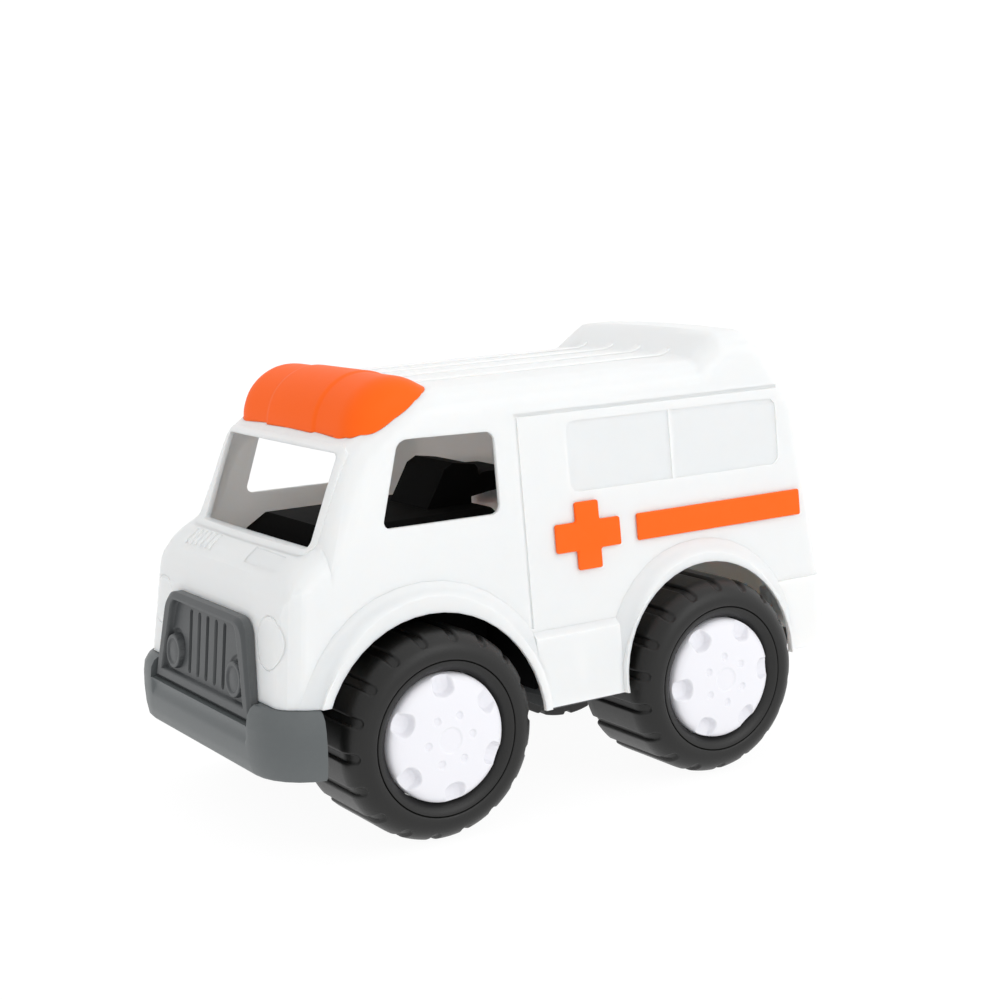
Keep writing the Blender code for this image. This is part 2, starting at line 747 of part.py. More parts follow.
def cross_badge():
    """A plus-shaped plate for the left wall."""
    y, z, wide, tall, arm = CROSS
    a, w, h = arm / 2, wide / 2, tall / 2
    outline = [
        (-w, -a), (-a, -a), (-a, -h), (a, -h), (a, -a), (w, -a),
        (w, a), (a, a), (a, h), (-a, h), (-a, a), (-w, a),
    ]
    shape = [(y + dy, z + dz) for dy, dz in outline]
    return badge("side_cross_left", shape)


def stripe_badge():
    """A long plate for the left wall."""
    y0, y1, z0, z1 = STRIPE
    shape = rounded(((y0, z0), (y1, z0), (y1, z1), (y0, z1)), 0.0008, 2)
    return badge("side_stripe_left", shape)


def badge(name, shape):
    """A plate with a softened face, standing just off the wall."""
    middle = (sum(p[0] for p in shape) / len(shape), sum(p[1] for p in shape) / len(shape))
    rings = []
    for lift, pull in ((GAP, 0.0), (BADGE - 0.0005, 0.0), (BADGE, 0.0005)):
        ring = [pulled(p, middle, pull) for p in shape]
        rings.append([(wall_x(z) + lift, y, z) for y, z in ring])
    return loft(name, rings)


def pulled(point, middle, pull):
    """A point moved towards the middle by pull along both axes."""
    y = point[0] - math.copysign(pull, point[0] - middle[0])
    z = point[1] - math.copysign(pull, point[1] - middle[1])
    return (y, z)


def cab_insert():
    """The black cab moulding: a crowned deck with a seat back, on the liner of the front wheels."""
    front, rear = DECK_Y
    foot = (DECK_SIDE[0], DECK_BOTTOM_Z)
    right = [foot, DECK_SIDE, DECK_CROWN]
    outline = [(-x, z) for x, z in right] + list(reversed(right))
    corners = (0.001, 0.008, 0.008, 0.008, 0.008, 0.001)
    deck = prism("cab_insert", rounded(outline, corners, 3), "y", front, rear)
    join(deck, prism("seat", SEAT_PROFILE, "x", -SEAT_HALF, SEAT_HALF))
    for side in (-1, 1):
        low = (side * LEG_X - LEG_HALF, front + DECK_WALL, PLATE_TOP_Z + GAP)
        high = (side * LEG_X + LEG_HALF, rear - LEG_HALF, DECK_BOTTOM_Z + 0.004)
        join(deck, box("leg", low, high))
    low = (-LINER_HALF, LINER_FRONT_Y, LINER_TOP_Z - LINER_WALL)
    join(deck, box("floor", low, (LINER_HALF, rear - 0.001, LINER_TOP_Z)))
    low = (-LINER_HALF, rear - 0.0012 - LINER_WALL, PLATE_TOP_Z + GAP)
    join(deck, box("wall", low, (LINER_HALF, rear - 0.0012, LINER_TOP_Z - 0.0005)))
    middle = (front + rear) / 2
    half = LEG_X - LEG_HALF - 0.001
    for y0, y1 in ((front + DECK_WALL, middle - 0.002), (middle + 0.002, rear - DECK_WALL)):
        hollow = box("hollow", (-half, y0, PLATE_TOP_Z), (half, y1, DECK_CROWN[1] - DECK_WALL))
        cut(deck, hollow)
    return deck


def chassis_outline():
    """The floor plate seen from above: narrow between the wheels, wide at the sills and tail."""
    k, p, t = KEEL_HALF, PLATE_HALF, TAIL_PLATE_HALF
    right = [
        (0.052, -0.1476),
        (0.052, -0.1410),
        (k, -0.1360),
        (k, -0.0230),
        (p, -0.0160),
        (p, 0.0220),
        (k, 0.0280),
        (k, 0.1320),
        (t, 0.1390),
        (t, 0.1460),
        (t - 0.010, 0.1570),
    ]
    return right + [(-x, y) for x, y in reversed(right)]


def chassis():
    """The grey floor with bearing blocks for both axles."""
    floor = prism("chassis", chassis_outline(), "z", PLATE_TOP_Z - PLATE, PLATE_TOP_Z)
    foot = CLAMP_TOP_Z + GAP
    top = PLATE_TOP_Z - 0.001
    for y in (FRONT_AXLE_Y, REAR_AXLE_Y):
        for side in (-1, 1):
            x = side * BEARING_X
            low = (x - BEARING_HALF[0], y - BEARING_HALF[1], foot)
            join(floor, box("bearing", low, (x + BEARING_HALF[0], y + BEARING_HALF[1], top)))
            post = pin("clamp_post", clamp_screw_spot(y, side), CLAMP_POST_RADIUS, foot, top, 12)
            join(floor, post)
        cut(floor, axle_slot(y))
        for side in (-1, 1):
            cut(floor, pin("hole", clamp_screw_spot(y, side), SCREW_RADIUS + GAP, 0.0, CLAMP_HOLE_TOP_Z, 12))
    join(floor, belly())
    for x, y in POSTS:
        for side in (-1, 1):
            cut(floor, pin("hole", (side * x, y), SCREW_RADIUS + GAP, 0.0, FAR, 12))
            seat = PLATE_TOP_Z - PLATE
            cut(floor, pin("counterbore", (side * x, y), SCREW_HEAD + 2 * GAP, 0.0, seat, 16))
    return floor


def belly():
    """A shallow tray below the floor between the wheels, seen under the sills."""
    reach = PLATE_HALF
    low, high = BELLY_Y
    tray = box("belly", (-reach, low, BELLY_Z), (reach, high, PLATE_TOP_Z - 0.001))
    inner = reach - BELLY_WALL
    rim = 0.0020
    hollow = box("hollow", (-inner, low + rim, 0.0), (inner, high - rim, PLATE_TOP_Z - PLATE))
    return cut(tray, hollow)


def axle_slot(y):
    """A round-topped slot that the axle drops into from below."""
    r = AXLE_RADIUS + GAP
    arc = [(y + r * math.cos(math.pi * k / 8), AXLE_Z + r * math.sin(math.pi * k / 8)) for k in range(9)]
    return prism("slot", arc + [(y - r, 0.0), (y + r, 0.0)], "x", -FAR, FAR)


def tyre_profile():
    """Outer and inner line of the tyre as (x, radius, share of the groove depth)."""
    r, x0, x1, w = TYRE_RADIUS, TYRE_INNER_X, TYRE_OUTER_X, TYRE_WALL
    return (
        (x0, r - 0.0012, 1.0),
        (x0 + 0.0015, r, 1.0),
        (x1 - 0.0130, r, 1.0),
        (x1 - 0.0066, r - 0.0016, 1.0),
        (x1 - 0.0026, r - 0.0052, 0.6),
        (x1 - 0.0004, r - 0.0092, 0.0),
        (x1 - 0.0010, BEAD_RADIUS, 0.0),
        (HUB_RIM_X + 0.0006, TYRE_BORE, 0.0),
        (HUB_RIM_X - 0.0110, TYRE_BORE, 0.0),
        (HUB_RIM_X - 0.0110, r - w - 0.0030, 0.0),
        (x0, r - w - 0.0030, 0.0),
    )


def tyre(name, y, phase):
    """A chunky hollow tyre whose tread is broken by straight cross grooves."""
    rings = []
    pitch = 2 * math.pi / TREAD_GROOVES
    half = GROOVE_ANGLE / 2
    for k in range(TREAD_GROOVES):
        middle = phase + k * pitch
        for angle, low in ((-half - 0.012, 0.0), (-half, 1.0), (half, 1.0), (half + 0.012, 0.0)):
            ring = []
            for x, r, share in tyre_profile():
                radius = r - GROOVE_DEPTH * share * low
                ring.append(turned(x, radius, middle + angle, (y, AXLE_Z)))
            rings.append(ring)
    return loft(name, rings, closed=True)


def hub(name, y, phase):
    """A domed cap with six scallops, lugs, a centre boss and a sleeve for the axle."""
    r = HUB_RADIUS
    profile = (
        (HUB_FACE_X - 0.0002, 0.0010),
        (HUB_FACE_X - 0.0009, 0.0190),
        (HUB_FACE_X - 0.0022, 0.0250),
        (HUB_FACE_X - 0.0046, 0.0288),
        (HUB_RIM_X, r),
        (HUB_RIM_X - 0.0105, r),
        (HUB_RIM_X - 0.0105, r - 0.0030),
        (HUB_RIM_X - 0.0035, r - 0.0035),
        (HUB_FACE_X - 0.0075, 0.0200),
        (HUB_FACE_X - 0.0062, HUB_SLEEVE_RADIUS),
        (TYRE_INNER_X, HUB_SLEEVE_RADIUS),
        (TYRE_INNER_X, AXLE_RADIUS + 0.00002),
        (AXLE_HALF + GAP, AXLE_RADIUS + 0.00002),
        (AXLE_HALF + GAP, 0.0010),
    )
    cap = revolve(name, profile, (y, AXLE_Z), HUB_STEPS, phase)
    centre = (y, AXLE_Z)
    join(cap, rod("plug", centre, 0.0016, AXLE_HALF + 0.0008, HUB_FACE_X - 0.0001, 12, phase))
    for k in range(6):
        cut(cap, scoop(centre, phase + math.radians(30 + 60 * k)))
    boss_top = HUB_FACE_X + 0.0005
    join(cap, rod("boss", centre, BOSS_RADIUS, HUB_FACE_X - 0.0030, boss_top, 20, phase))
    for k in range(6):
        angle = phase + math.radians(60 * k)
        spot = turned(0.0, LUG_CIRCLE, angle, centre)[1:]
        join(cap, rod("lug", spot, LUG_RADIUS, HUB_FACE_X - 0.0030, HUB_FACE_X + 0.0004, 10, angle))
    return cap


def scoop(centre, angle):
    """A cone lying on the face of a hub cap that scoops a notch out of its rim."""
    bm = bmesh.new()
    length = SCOOP_OUTER - SCOOP_INNER
    bmesh.ops.create_cone(
        bm, cap_ends=True, segments=12, radius1=0.0006, radius2=SCOOP_RADIUS, depth=length
    )
    bmesh.ops.translate(bm, verts=bm.verts, vec=(0.0, 0.0, SCOOP_INNER + length / 2))
    bmesh.ops.rotate(bm, verts=bm.verts, matrix=Matrix.Rotation(angle - math.pi / 2, 3, "X"))
    bmesh.ops.translate(bm, verts=bm.verts, vec=(HUB_FACE_X + 0.0003, *centre))
    return from_bmesh("scoop", bm)


def clamp_screw_spot(y, side):
    """Where one screw of an axle clamp sits, in (x, y)."""
    return (side * CLAMP_SCREW[0], y + side * CLAMP_SCREW[1])


def clamp(name, y):
    """The strap that holds one axle up against the floor."""
    reach = (BEARING_X + BEARING_HALF[0], CLAMP_SCREW[1] + CLAMP_POST_RADIUS)
    outline = rounded(rectangle((-reach[0], y - reach[1]), (reach[0], y + reach[1])), 0.003, 3)
    strap = prism(name, outline, "z", CLAMP_TOP_Z - CLAMP, CLAMP_TOP_Z)
    for side in (-1, 1):
        hole = pin("hole", clamp_screw_spot(y, side), SCREW_RADIUS + GAP, 0.0, FAR, 12)
        cut(strap, hole)
    return strap


def screw(name, x, y, seat, length):
    """A flat-headed screw driven upwards, with its head under seat."""
    head = pin(name, (x, y), SCREW_HEAD, seat - GAP - SCREW_HEAD_HEIGHT, seat - GAP, 14)
    return join(head, pin("shank", (x, y), SCREW_RADIUS, seat - GAP - 0.0006, seat + length, 10))


def finish_node(obj, name, kind):
    """Names one finished piece, gives it its material and smooths its round faces."""
    obj.name = name
    obj.data.name = name
    obj.data.materials.clear()
    obj.data.materials.append(finish_of(name, kind))
    obj.data.shade_smooth()
    obj.data.set_sharp_from_angle(angle=math.radians(35))
    return obj


def add_pair(maker, stem, kind):
    """Makes the left piece and its mirror image."""
    left = maker()
    right = copy_of(left, mirrored=True)
    finish_node(left, stem + "_left", kind)
    finish_node(right, stem + "_right", kind)


def hang_on_axle(pieces, name, y):
    """Parents a wheelset to an empty on its axle."""
    pivot = bpy.data.objects.new(name, None)
    pivot.location = (0.0, y, AXLE_Z)
    bpy.context.scene.collection.objects.link(pivot)
    bpy.context.view_layer.update()
    for piece in pieces:
        piece.data.transform(Matrix.Translation((0.0, -y, -AXLE_Z)))
        piece.parent = pivot


def add_wheelset(end, y, phases):
    """Two wheels on one steel axle, free to roll."""
    pieces = []
    for maker, part, phase in ((tyre, "tyre", phases[0]), (hub, "hub", phases[1])):
        left = maker(part, y, phase)
        right = copy_of(left, mirrored=True)
        pieces.append(finish_node(left, f"{part}_{end}_left", part))
        pieces.append(finish_node(right, f"{part}_{end}_right", part))
    axle = rod("axle", (y, AXLE_Z), AXLE_RADIUS - 0.0002, -AXLE_HALF, AXLE_HALF, 16)
    pieces.append(finish_node(axle, f"axle_{end}", "steel"))
    hang_on_axle(pieces, f"{end}_wheelset", y)


def add_screws():
    """Four screws into the body and two through each axle clamp."""
    for label, (x, y) in zip(("mid", "tail"), POSTS):
        for side, word in ((1, "left"), (-1, "right")):
            name = f"screw_{label}_{word}"
            finish_node(screw(name, side * x, y, PLATE_TOP_Z - PLATE, 0.0120), name, "steel")
    for end, y in (("front", FRONT_AXLE_Y), ("rear", REAR_AXLE_Y)):
        for side, word in ((1, "left"), (-1, "right")):
            name = f"screw_{end}_clamp_{word}"
            x, spot_y = clamp_screw_spot(y, side)
            finish_node(screw(name, x, spot_y, CLAMP_TOP_Z - CLAMP, 0.0090), name, "steel")


def main():
    clear_scene()
    finish_node(body_shell(), "body_shell", "white")
    finish_node(chassis(), "chassis", "grey")
    finish_node(bumper(), "bumper", "grey")
    finish_node(grille(), "grille", "grey")
    finish_node(cab_insert(), "cab_insert", "black")
    finish_node(roof_light(), "roof_light", "orange")
    add_pair(cross_badge, "side_cross", "orange")
    add_pair(stripe_badge, "side_stripe", "orange")
    add_wheelset("front", FRONT_AXLE_Y, FRONT_PHASES)
    add_wheelset("rear", REAR_AXLE_Y, REAR_PHASES)
    for end, y in (("front", FRONT_AXLE_Y), ("rear", REAR_AXLE_Y)):
        finish_node(clamp("clamp", y), f"axle_clamp_{end}", "grey")
    add_screws()


main()
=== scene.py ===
"""Looks of the toy emergency van: moulded skins, finishes, floor, light and camera."""

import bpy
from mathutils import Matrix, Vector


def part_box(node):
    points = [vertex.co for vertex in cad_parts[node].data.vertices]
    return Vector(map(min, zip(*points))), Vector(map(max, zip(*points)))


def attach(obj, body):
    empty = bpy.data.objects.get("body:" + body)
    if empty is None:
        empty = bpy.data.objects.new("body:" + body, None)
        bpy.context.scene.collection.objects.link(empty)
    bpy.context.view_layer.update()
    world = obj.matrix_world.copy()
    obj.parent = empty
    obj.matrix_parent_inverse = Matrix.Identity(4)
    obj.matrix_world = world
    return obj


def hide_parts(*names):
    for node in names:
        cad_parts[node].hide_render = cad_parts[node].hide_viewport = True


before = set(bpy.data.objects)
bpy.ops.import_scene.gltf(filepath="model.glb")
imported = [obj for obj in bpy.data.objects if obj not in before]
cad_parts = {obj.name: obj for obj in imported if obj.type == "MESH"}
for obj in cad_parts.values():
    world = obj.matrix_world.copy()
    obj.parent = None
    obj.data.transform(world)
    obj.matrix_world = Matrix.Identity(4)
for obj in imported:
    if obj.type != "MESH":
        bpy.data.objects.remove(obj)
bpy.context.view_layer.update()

import logging
import math
from dataclasses import dataclass, field, replace
from enum import Enum

import bmesh
import bpy
from bmesh.types import BMesh, BMLayerItem, BMVert
from bpy.types import Material, Node, NodeSocket, NodeTree, Object
from mathutils import Matrix, Vector

LOG = logging.getLogger("toy_van")
MM = 0.001
WELD = 0.002 * MM
CUT_WELD = 0.02 * MM
AXLE_HEIGHT = 50.0 * MM
AXLE_REACH = 81.0 * MM

Pair = tuple[float, float]
Profile = tuple[Pair, ...]
Triple = tuple[float, float, float]


class Body(str, Enum):
    """The moving bodies of the toy."""

    VEHICLE = "vehicle"
    FRONT = "front_wheelset"
    REAR = "rear_wheelset"


class Side(Enum):
    """The two sides of the toy, as the sign of X."""

    LEFT = 1
    RIGHT = -1

    @property
    def word(self) -> str:
        """The side's name in lower case."""
        return self.name.lower()


# Shader node groups


@dataclass(frozen=True)
class Socket:
    """One socket of a shader node group."""

    name: str
    kind: str
    default: object = None


class Effect:
    """A surface effect that several finishes share, kept as one shader node group."""

    title: str = ""
    inputs: tuple[Socket, ...] = ()
    outputs: tuple[Socket, ...] = ()

    def group(self) -> NodeTree:
        """The effect's node group, built the first time it is asked for.

        Returns:
            The shared shader node group.
        """
        found = bpy.data.node_groups.get(self.title)
        if found:
            return found
        tree = bpy.data.node_groups.new(self.title, "ShaderNodeTree")
        for way, sockets in (("INPUT", self.inputs), ("OUTPUT", self.outputs)):
            for item in sockets:
                made = tree.interface.new_socket(item.name, in_out=way, socket_type=item.kind)
                if item.default is not None:
                    made.default_value = item.default
        self.fill(tree, tree.nodes.new("NodeGroupInput"), tree.nodes.new("NodeGroupOutput"))
        return tree

    def fill(self, tree: NodeTree, start: Node, end: Node) -> None:
        """Adds the nodes between the group's input and output.

        Args:
            tree: The group that is being filled.
            start: Its input node.
            end: Its output node.
        """
        raise NotImplementedError


def math_node(tree: NodeTree, operation: str, *values: object) -> NodeSocket:
    """Adds one Math node.

    Args:
        tree: The node tree to add it to.
        operation: The name of the operation.
        values: A number or a socket for each input, in order.

    Returns:
        The node's output socket.
    """
    node = tree.nodes.new("ShaderNodeMath")
    node.operation = operation
    for slot, value in zip(node.inputs, values):
        if isinstance(value, (int, float)):
            slot.default_value = value
        else:
            tree.links.new(value, slot)
    return node.outputs[0]


def noise_node(
    tree: NodeTree, vector: NodeSocket, scale: object, detail: float, rough: float = 0.5
) -> NodeSocket:
    """Adds one Noise Texture node.

    Args:
        tree: The node tree to add it to.
        vector: The coordinates that it follows.
        scale: Its scale, as a number or a socket.
        detail: Its octaves.
        rough: Its roughness.

    Returns:
        The factor output, from 0 to 1.
    """
    node = tree.nodes.new("ShaderNodeTexNoise")
    node.inputs["Detail"].default_value = detail
    node.inputs["Roughness"].default_value = rough
    tree.links.new(vector, node.inputs["Vector"])
    if isinstance(scale, (int, float)):
        node.inputs["Scale"].default_value = scale
    else:
        tree.links.new(scale, node.inputs["Scale"])
    return node.outputs["Fac"]


class MouldedGrain(Effect):
    """Fine spark-eroded grain over the long, faint waves of a moulded wall."""

    title = "moulded_grain"
    inputs = (
        Socket("Vector", "NodeSocketVector"),
        Socket("Grain Scale", "NodeSocketFloat", 1400.0),
        Socket("Grain Depth", "NodeSocketFloat", 0.3),
        Socket("Wave Depth", "NodeSocketFloat", 0.3),
    )
    outputs = (Socket("Height", "NodeSocketFloat"),)

    def fill(self, tree: NodeTree, start: Node, end: Node) -> None:
        """Adds a fine grain to a long wave.

        Args:
            tree: The group that is being filled.
            start: Its input node.
            end: Its output node.
        """
        grain = noise_node(tree, start.outputs["Vector"], start.outputs["Grain Scale"], 2.0)
        wave = noise_node(tree, start.outputs["Vector"], 22.0, 1.0)
        fine = math_node(tree, "MULTIPLY", grain, start.outputs["Grain Depth"])
        long = math_node(tree, "MULTIPLY", wave, start.outputs["Wave Depth"])
        tree.links.new(math_node(tree, "ADD", fine, long), end.inputs["Height"])


class ColourDrift(Effect):
    """The slight change of brightness over a moulded or handled surface."""

    title = "colour_drift"
    inputs = (
        Socket("Vector", "NodeSocketVector"),
        Socket("Colour", "NodeSocketColor"),
        Socket("Amount", "NodeSocketFloat", 0.04),
        Socket("Scale", "NodeSocketFloat", 18.0),
    )
    outputs = (Socket("Colour", "NodeSocketColor"),)

    def fill(self, tree: NodeTree, start: Node, end: Node) -> None:
        """Changes the colour's brightness in soft clouds.

        Args:
            tree: The group that is being filled.
            start: Its input node.
            end: Its output node.
        """
        cloud = noise_node(tree, start.outputs["Vector"], start.outputs["Scale"], 4.0, 0.6)
        centred = math_node(tree, "SUBTRACT", cloud, 0.5)
        change = math_node(tree, "MULTIPLY", centred, start.outputs["Amount"])
        value = math_node(tree, "ADD", math_node(tree, "MULTIPLY", change, 2.0), 1.0)
        tint = tree.nodes.new("ShaderNodeHueSaturation")
        tree.links.new(start.outputs["Colour"], tint.inputs["Color"])
        tree.links.new(value, tint.inputs["Value"])
        tree.links.new(tint.outputs["Color"], end.inputs["Colour"])


class EdgeRub(Effect):
    """A mask of the outer edges, which are lightened partly as wear from hands and knocks and partly as a
    painted highlight.
    """

    title = "edge_rub"
    inputs = (
        Socket("Vector", "NodeSocketVector"),
        Socket("Reach", "NodeSocketFloat", 0.06),
    )
    outputs = (Socket("Mask", "NodeSocketFloat"),)

    def fill(self, tree: NodeTree, start: Node, end: Node) -> None:
        """Finds the outer edges and breaks them up.

        Args:
            tree: The group that is being filled.
            start: Its input node.
            end: Its output node.
        """
        shape = tree.nodes.new("ShaderNodeNewGeometry")
        sharp = math_node(tree, "SUBTRACT", shape.outputs["Pointiness"], 0.5)
        spread = math_node(tree, "DIVIDE", sharp, start.outputs["Reach"])
        patch = noise_node(tree, start.outputs["Vector"], 160.0, 3.0, 0.7)
        broken = math_node(tree, "MULTIPLY", spread, math_node(tree, "ADD", patch, 0.35))
        clamped = tree.nodes.new("ShaderNodeClamp")
        tree.links.new(broken, clamped.inputs["Value"])
        tree.links.new(clamped.outputs["Result"], end.inputs["Mask"])


class HandledGloss(Effect):
    """A roughness that changes in soft patches and fine wiped streaks."""

    title = "handled_gloss"
    inputs = (
        Socket("Vector", "NodeSocketVector"),
        Socket("Roughness", "NodeSocketFloat", 0.4),
        Socket("Change", "NodeSocketFloat", 0.08),
    )
    outputs = (Socket("Roughness", "NodeSocketFloat"),)

    def fill(self, tree: NodeTree, start: Node, end: Node) -> None:
        """Adds wiped streaks and soft patches together.

        Args:
            tree: The group that is being filled.
            start: Its input node.
            end: Its output node.
        """
        stretch = tree.nodes.new("ShaderNodeMapping")
        stretch.inputs["Scale"].default_value = (1.0, 0.12, 1.0)
        stretch.inputs["Rotation"].default_value = (0.4, 0.2, 0.3)
        tree.links.new(start.outputs["Vector"], stretch.inputs["Vector"])
        streak = noise_node(tree, stretch.outputs["Vector"], 420.0, 2.0)
        patch = noise_node(tree, start.outputs["Vector"], 30.0, 3.0)
        both = math_node(tree, "SUBTRACT", math_node(tree, "ADD", streak, patch), 1.0)
        change = math_node(tree, "MULTIPLY", both, start.outputs["Change"])
        total = math_node(tree, "ADD", change, start.outputs["Roughness"])
        tree.links.new(total, end.inputs["Roughness"])


@dataclass(frozen=True)
class Finish:
    """A moulded or plated surface and the values that its shared effects take."""

    title: str
    colour: Triple
    roughness: float
    # Edge colour, lighter than the body colour: partly wear and partly a painted highlight along the outer
    # edges.
    rub_colour: Triple
    rub: float = 0.25
    metallic: float = 0.0
    specular: float = 0.5
    grain_scale: float = 1400.0
    grain_depth: float = 0.3
    wave_depth: float = 0.3
    bump: float = 0.06
    drift: float = 0.03
    gloss_change: float = 0.05
    subsurface: float = 0.0
    light_depth: float = 3.0 * MM
    light_spread: Triple = (1.0, 0.90, 0.84)

    def placed(self, tree: NodeTree, effect: Effect, values: dict[str, object]) -> Node:
        """Places one effect's group in a material.

        Args:
            tree: The material's node tree.
            effect: The effect to place.
            values: A number, colour or socket for each of its inputs.

        Returns:
            The group node.
        """
        node = tree.nodes.new("ShaderNodeGroup")
        node.node_tree = effect.group()
        for name, value in values.items():
            if isinstance(value, NodeSocket):
                tree.links.new(value, node.inputs[name])
            else:
                node.inputs[name].default_value = value
        return node

    def material(self, piece: str) -> Material:
        """Makes this finish for one piece, with its pattern shifted so that no two pieces repeat.

        Args:
            piece: The name of the piece that wears it.

        Returns:
            The new material.
        """
        made = bpy.data.materials.new(f"{self.title}.{piece}")
        made.use_nodes = True
        tree = made.node_tree
        shader = tree.nodes["Principled BSDF"]
        place = tree.nodes.new("ShaderNodeTexCoord")
        shift = tree.nodes.new("ShaderNodeMapping")
        seed = sum(ord(letter) * (i + 1) for i, letter in enumerate(piece)) % 97
        shift.inputs["Location"].default_value = (seed * 0.013, seed * 0.007, seed * 0.011)
        tree.links.new(place.outputs["Object"], shift.inputs["Vector"])
        where = shift.outputs["Vector"]
        drift = self.placed(
            tree, ColourDrift(), {"Vector": where, "Colour": (*self.colour, 1.0), "Amount": self.drift}
        )
        # Outer edges are mixed towards a lighter colour: partly wear, partly a painted highlight on the
        # edges.
        rub = self.placed(tree, EdgeRub(), {"Vector": where})
        share = math_node(tree, "MULTIPLY", rub.outputs["Mask"], self.rub)
        mix = tree.nodes.new("ShaderNodeMix")
        mix.data_type = "RGBA"
        tree.links.new(share, mix.inputs["Factor"])
        tree.links.new(drift.outputs["Colour"], mix.inputs["A"])
        mix.inputs["B"].default_value = (*self.rub_colour, 1.0)
        tree.links.new(mix.outputs["Result"], shader.inputs["Base Color"])
        gloss = self.placed(
            tree,
            HandledGloss(),
            {"Vector": where, "Roughness": self.roughness, "Change": self.gloss_change},
        )
        tree.links.new(gloss.outputs["Roughness"], shader.inputs["Roughness"])
        grain = self.placed(
            tree,
            MouldedGrain(),
            {
                "Vector": where,
                "Grain Scale": self.grain_scale,
                "Grain Depth": self.grain_depth,
                "Wave Depth": self.wave_depth,
            },
        )
        bump = tree.nodes.new("ShaderNodeBump")
        bump.inputs["Strength"].default_value = self.bump
        bump.inputs["Distance"].default_value = MM
        tree.links.new(grain.outputs["Height"], bump.inputs["Height"])
        tree.links.new(bump.outputs["Normal"], shader.inputs["Normal"])
        shader.inputs["Metallic"].default_value = self.metallic
        shader.inputs["Specular IOR Level"].default_value = self.specular
        shader.inputs["Subsurface Weight"].default_value = self.subsurface
        shader.inputs["Subsurface Radius"].default_value = self.light_spread
        shader.inputs["Subsurface Scale"].default_value = self.light_depth
        return made


WHITE = Finish(
    "white_moulding",
    colour=(0.845, 0.850, 0.845),
    roughness=0.40,
    rub_colour=(0.86, 0.86, 0.85),
    rub=0.15,
    drift=0.012,
    subsurface=1.0,
    light_depth=4.0 * MM,
)
ORANGE = Finish(
    "orange_moulding",
    colour=(1.0, 0.132, 0.009),
    roughness=0.46,
    rub_colour=(1.0, 0.26, 0.10),
    rub=0.2,
    specular=0.08,
    drift=0.02,
)
# Grey plastic, set a little darker than its own colour as painted shade for the grille; the chassis and
# clamps share it.
GREY = Finish(
    "grey_moulding",
    colour=(0.062, 0.067, 0.070),
    roughness=0.42,
    rub_colour=(0.16, 0.17, 0.17),
    grain_depth=0.6,
    bump=0.1,
    specular=0.45,
)
# A lit copy of the same grey plastic: painted lighter on the bumper as painted light, for the brighter
# light that falls on it.
LIT_BUMPER_GREY = replace(
    GREY, title="bumper_moulding", colour=(0.096, 0.107, 0.110), rub_colour=(0.2, 0.21, 0.21)
)
BLACK = Finish(
    "black_moulding",
    colour=(0.003, 0.003, 0.003),
    roughness=0.75,
    rub_colour=(0.012, 0.012, 0.012),
    grain_depth=0.6,
    specular=0.06,
)
TYRE = Finish(
    "tyre_moulding",
    colour=(0.0040, 0.0040, 0.0036),
    roughness=0.41,
    rub_colour=(0.03, 0.03, 0.03),
    grain_depth=0.7,
    bump=0.15,
    specular=0.44,
)
HUB = Finish(
    "hub_moulding",
    colour=(0.815, 0.814, 0.855),
    roughness=0.42,
    rub_colour=(0.88, 0.88, 0.90),
    rub=0.12,
    drift=0.012,
    subsurface=0.2,
)
STEEL = Finish(
    "plated_steel", colour=(0.60, 0.61, 0.63), roughness=0.28, rub_colour=(0.8, 0.8, 0.8), metallic=1.0
)


# Mesh helpers


def new_object(name: str, shape: BMesh) -> Object:
    """Turns a bmesh into a linked object at the origin.

    Args:
        name: The piece's name.
        shape: The bmesh, which is freed.

    Returns:
        The new object.
    """
    mesh = bpy.data.meshes.new(name)
    shape.to_mesh(mesh)
    shape.free()
    made = bpy.data.objects.new(name, mesh)
    bpy.context.scene.collection.objects.link(made)
    return made


def shade(piece: Object, degrees: float) -> None:
    """Shades a piece smooth, apart from edges sharper than this.

    Args:
        piece: The object to shade.
        degrees: The sharpest angle that stays smooth.
    """
    piece.data.shade_smooth()
    piece.data.set_sharp_from_angle(angle=math.radians(degrees))


def seated(piece: Object, node: str) -> Object:
    """Cuts a piece with the node that it sits on, and keeps what stands outside.

    Args:
        piece: The piece, which reaches into the node.
        node: The CAD node that it sits on.

    Returns:
        The same object with its new mesh.
    """
    shape = bmesh.new()
    shape.from_mesh(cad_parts[node].data)
    bmesh.ops.remove_doubles(shape, verts=shape.verts, dist=WELD)
    seat = new_object(node + "_seat", shape)
    cut = piece.modifiers.new("seat", "BOOLEAN")
    cut.object = seat
    cut.operation = "DIFFERENCE"
    graph = bpy.context.evaluated_depsgraph_get()
    mesh = bpy.data.meshes.new_from_object(piece.evaluated_get(graph))
    piece.modifiers.remove(cut)
    bpy.data.objects.remove(seat)
    shape = bmesh.new()
    shape.from_mesh(mesh)
    top = max(shape.verts, key=lambda vertex: vertex.co.z)
    kept, fresh = {top}, [top]
    while fresh:
        vertex = fresh.pop()
        for edge in vertex.link_edges:
            other = edge.other_vert(vertex)
            if other not in kept:
                kept.add(other)
                fresh.append(other)
    bmesh.ops.delete(shape, geom=[v for v in shape.verts if v not in kept], context="VERTS")
    bmesh.ops.remove_doubles(shape, verts=shape.verts, dist=CUT_WELD)
    shape.to_mesh(mesh)
    shape.free()
    piece.data = mesh
    return piece


def eased(value: float) -> float:
    """A smooth step from 0 to 1.

    Args:
        value: Where on the step, from 0 to 1; anything outside is held at its end.

    Returns:
        The height of the step there.
    """
    held = min(max(value, 0.0), 1.0)
    return held * held * (3.0 - 2.0 * held)


def soft_min(one: float, other: float, blend: float) -> float:
    """The lower of two heights, with a fillet where they meet.

    Args:
        one: The first height.
        other: The second height.
        blend: The size of the fillet.

    Returns:
        The blended height.
    """
    share = min(max(0.5 + 0.5 * (other - one) / blend, 0.0), 1.0)
    return other + (one - other) * share - blend * share * (1.0 - share)


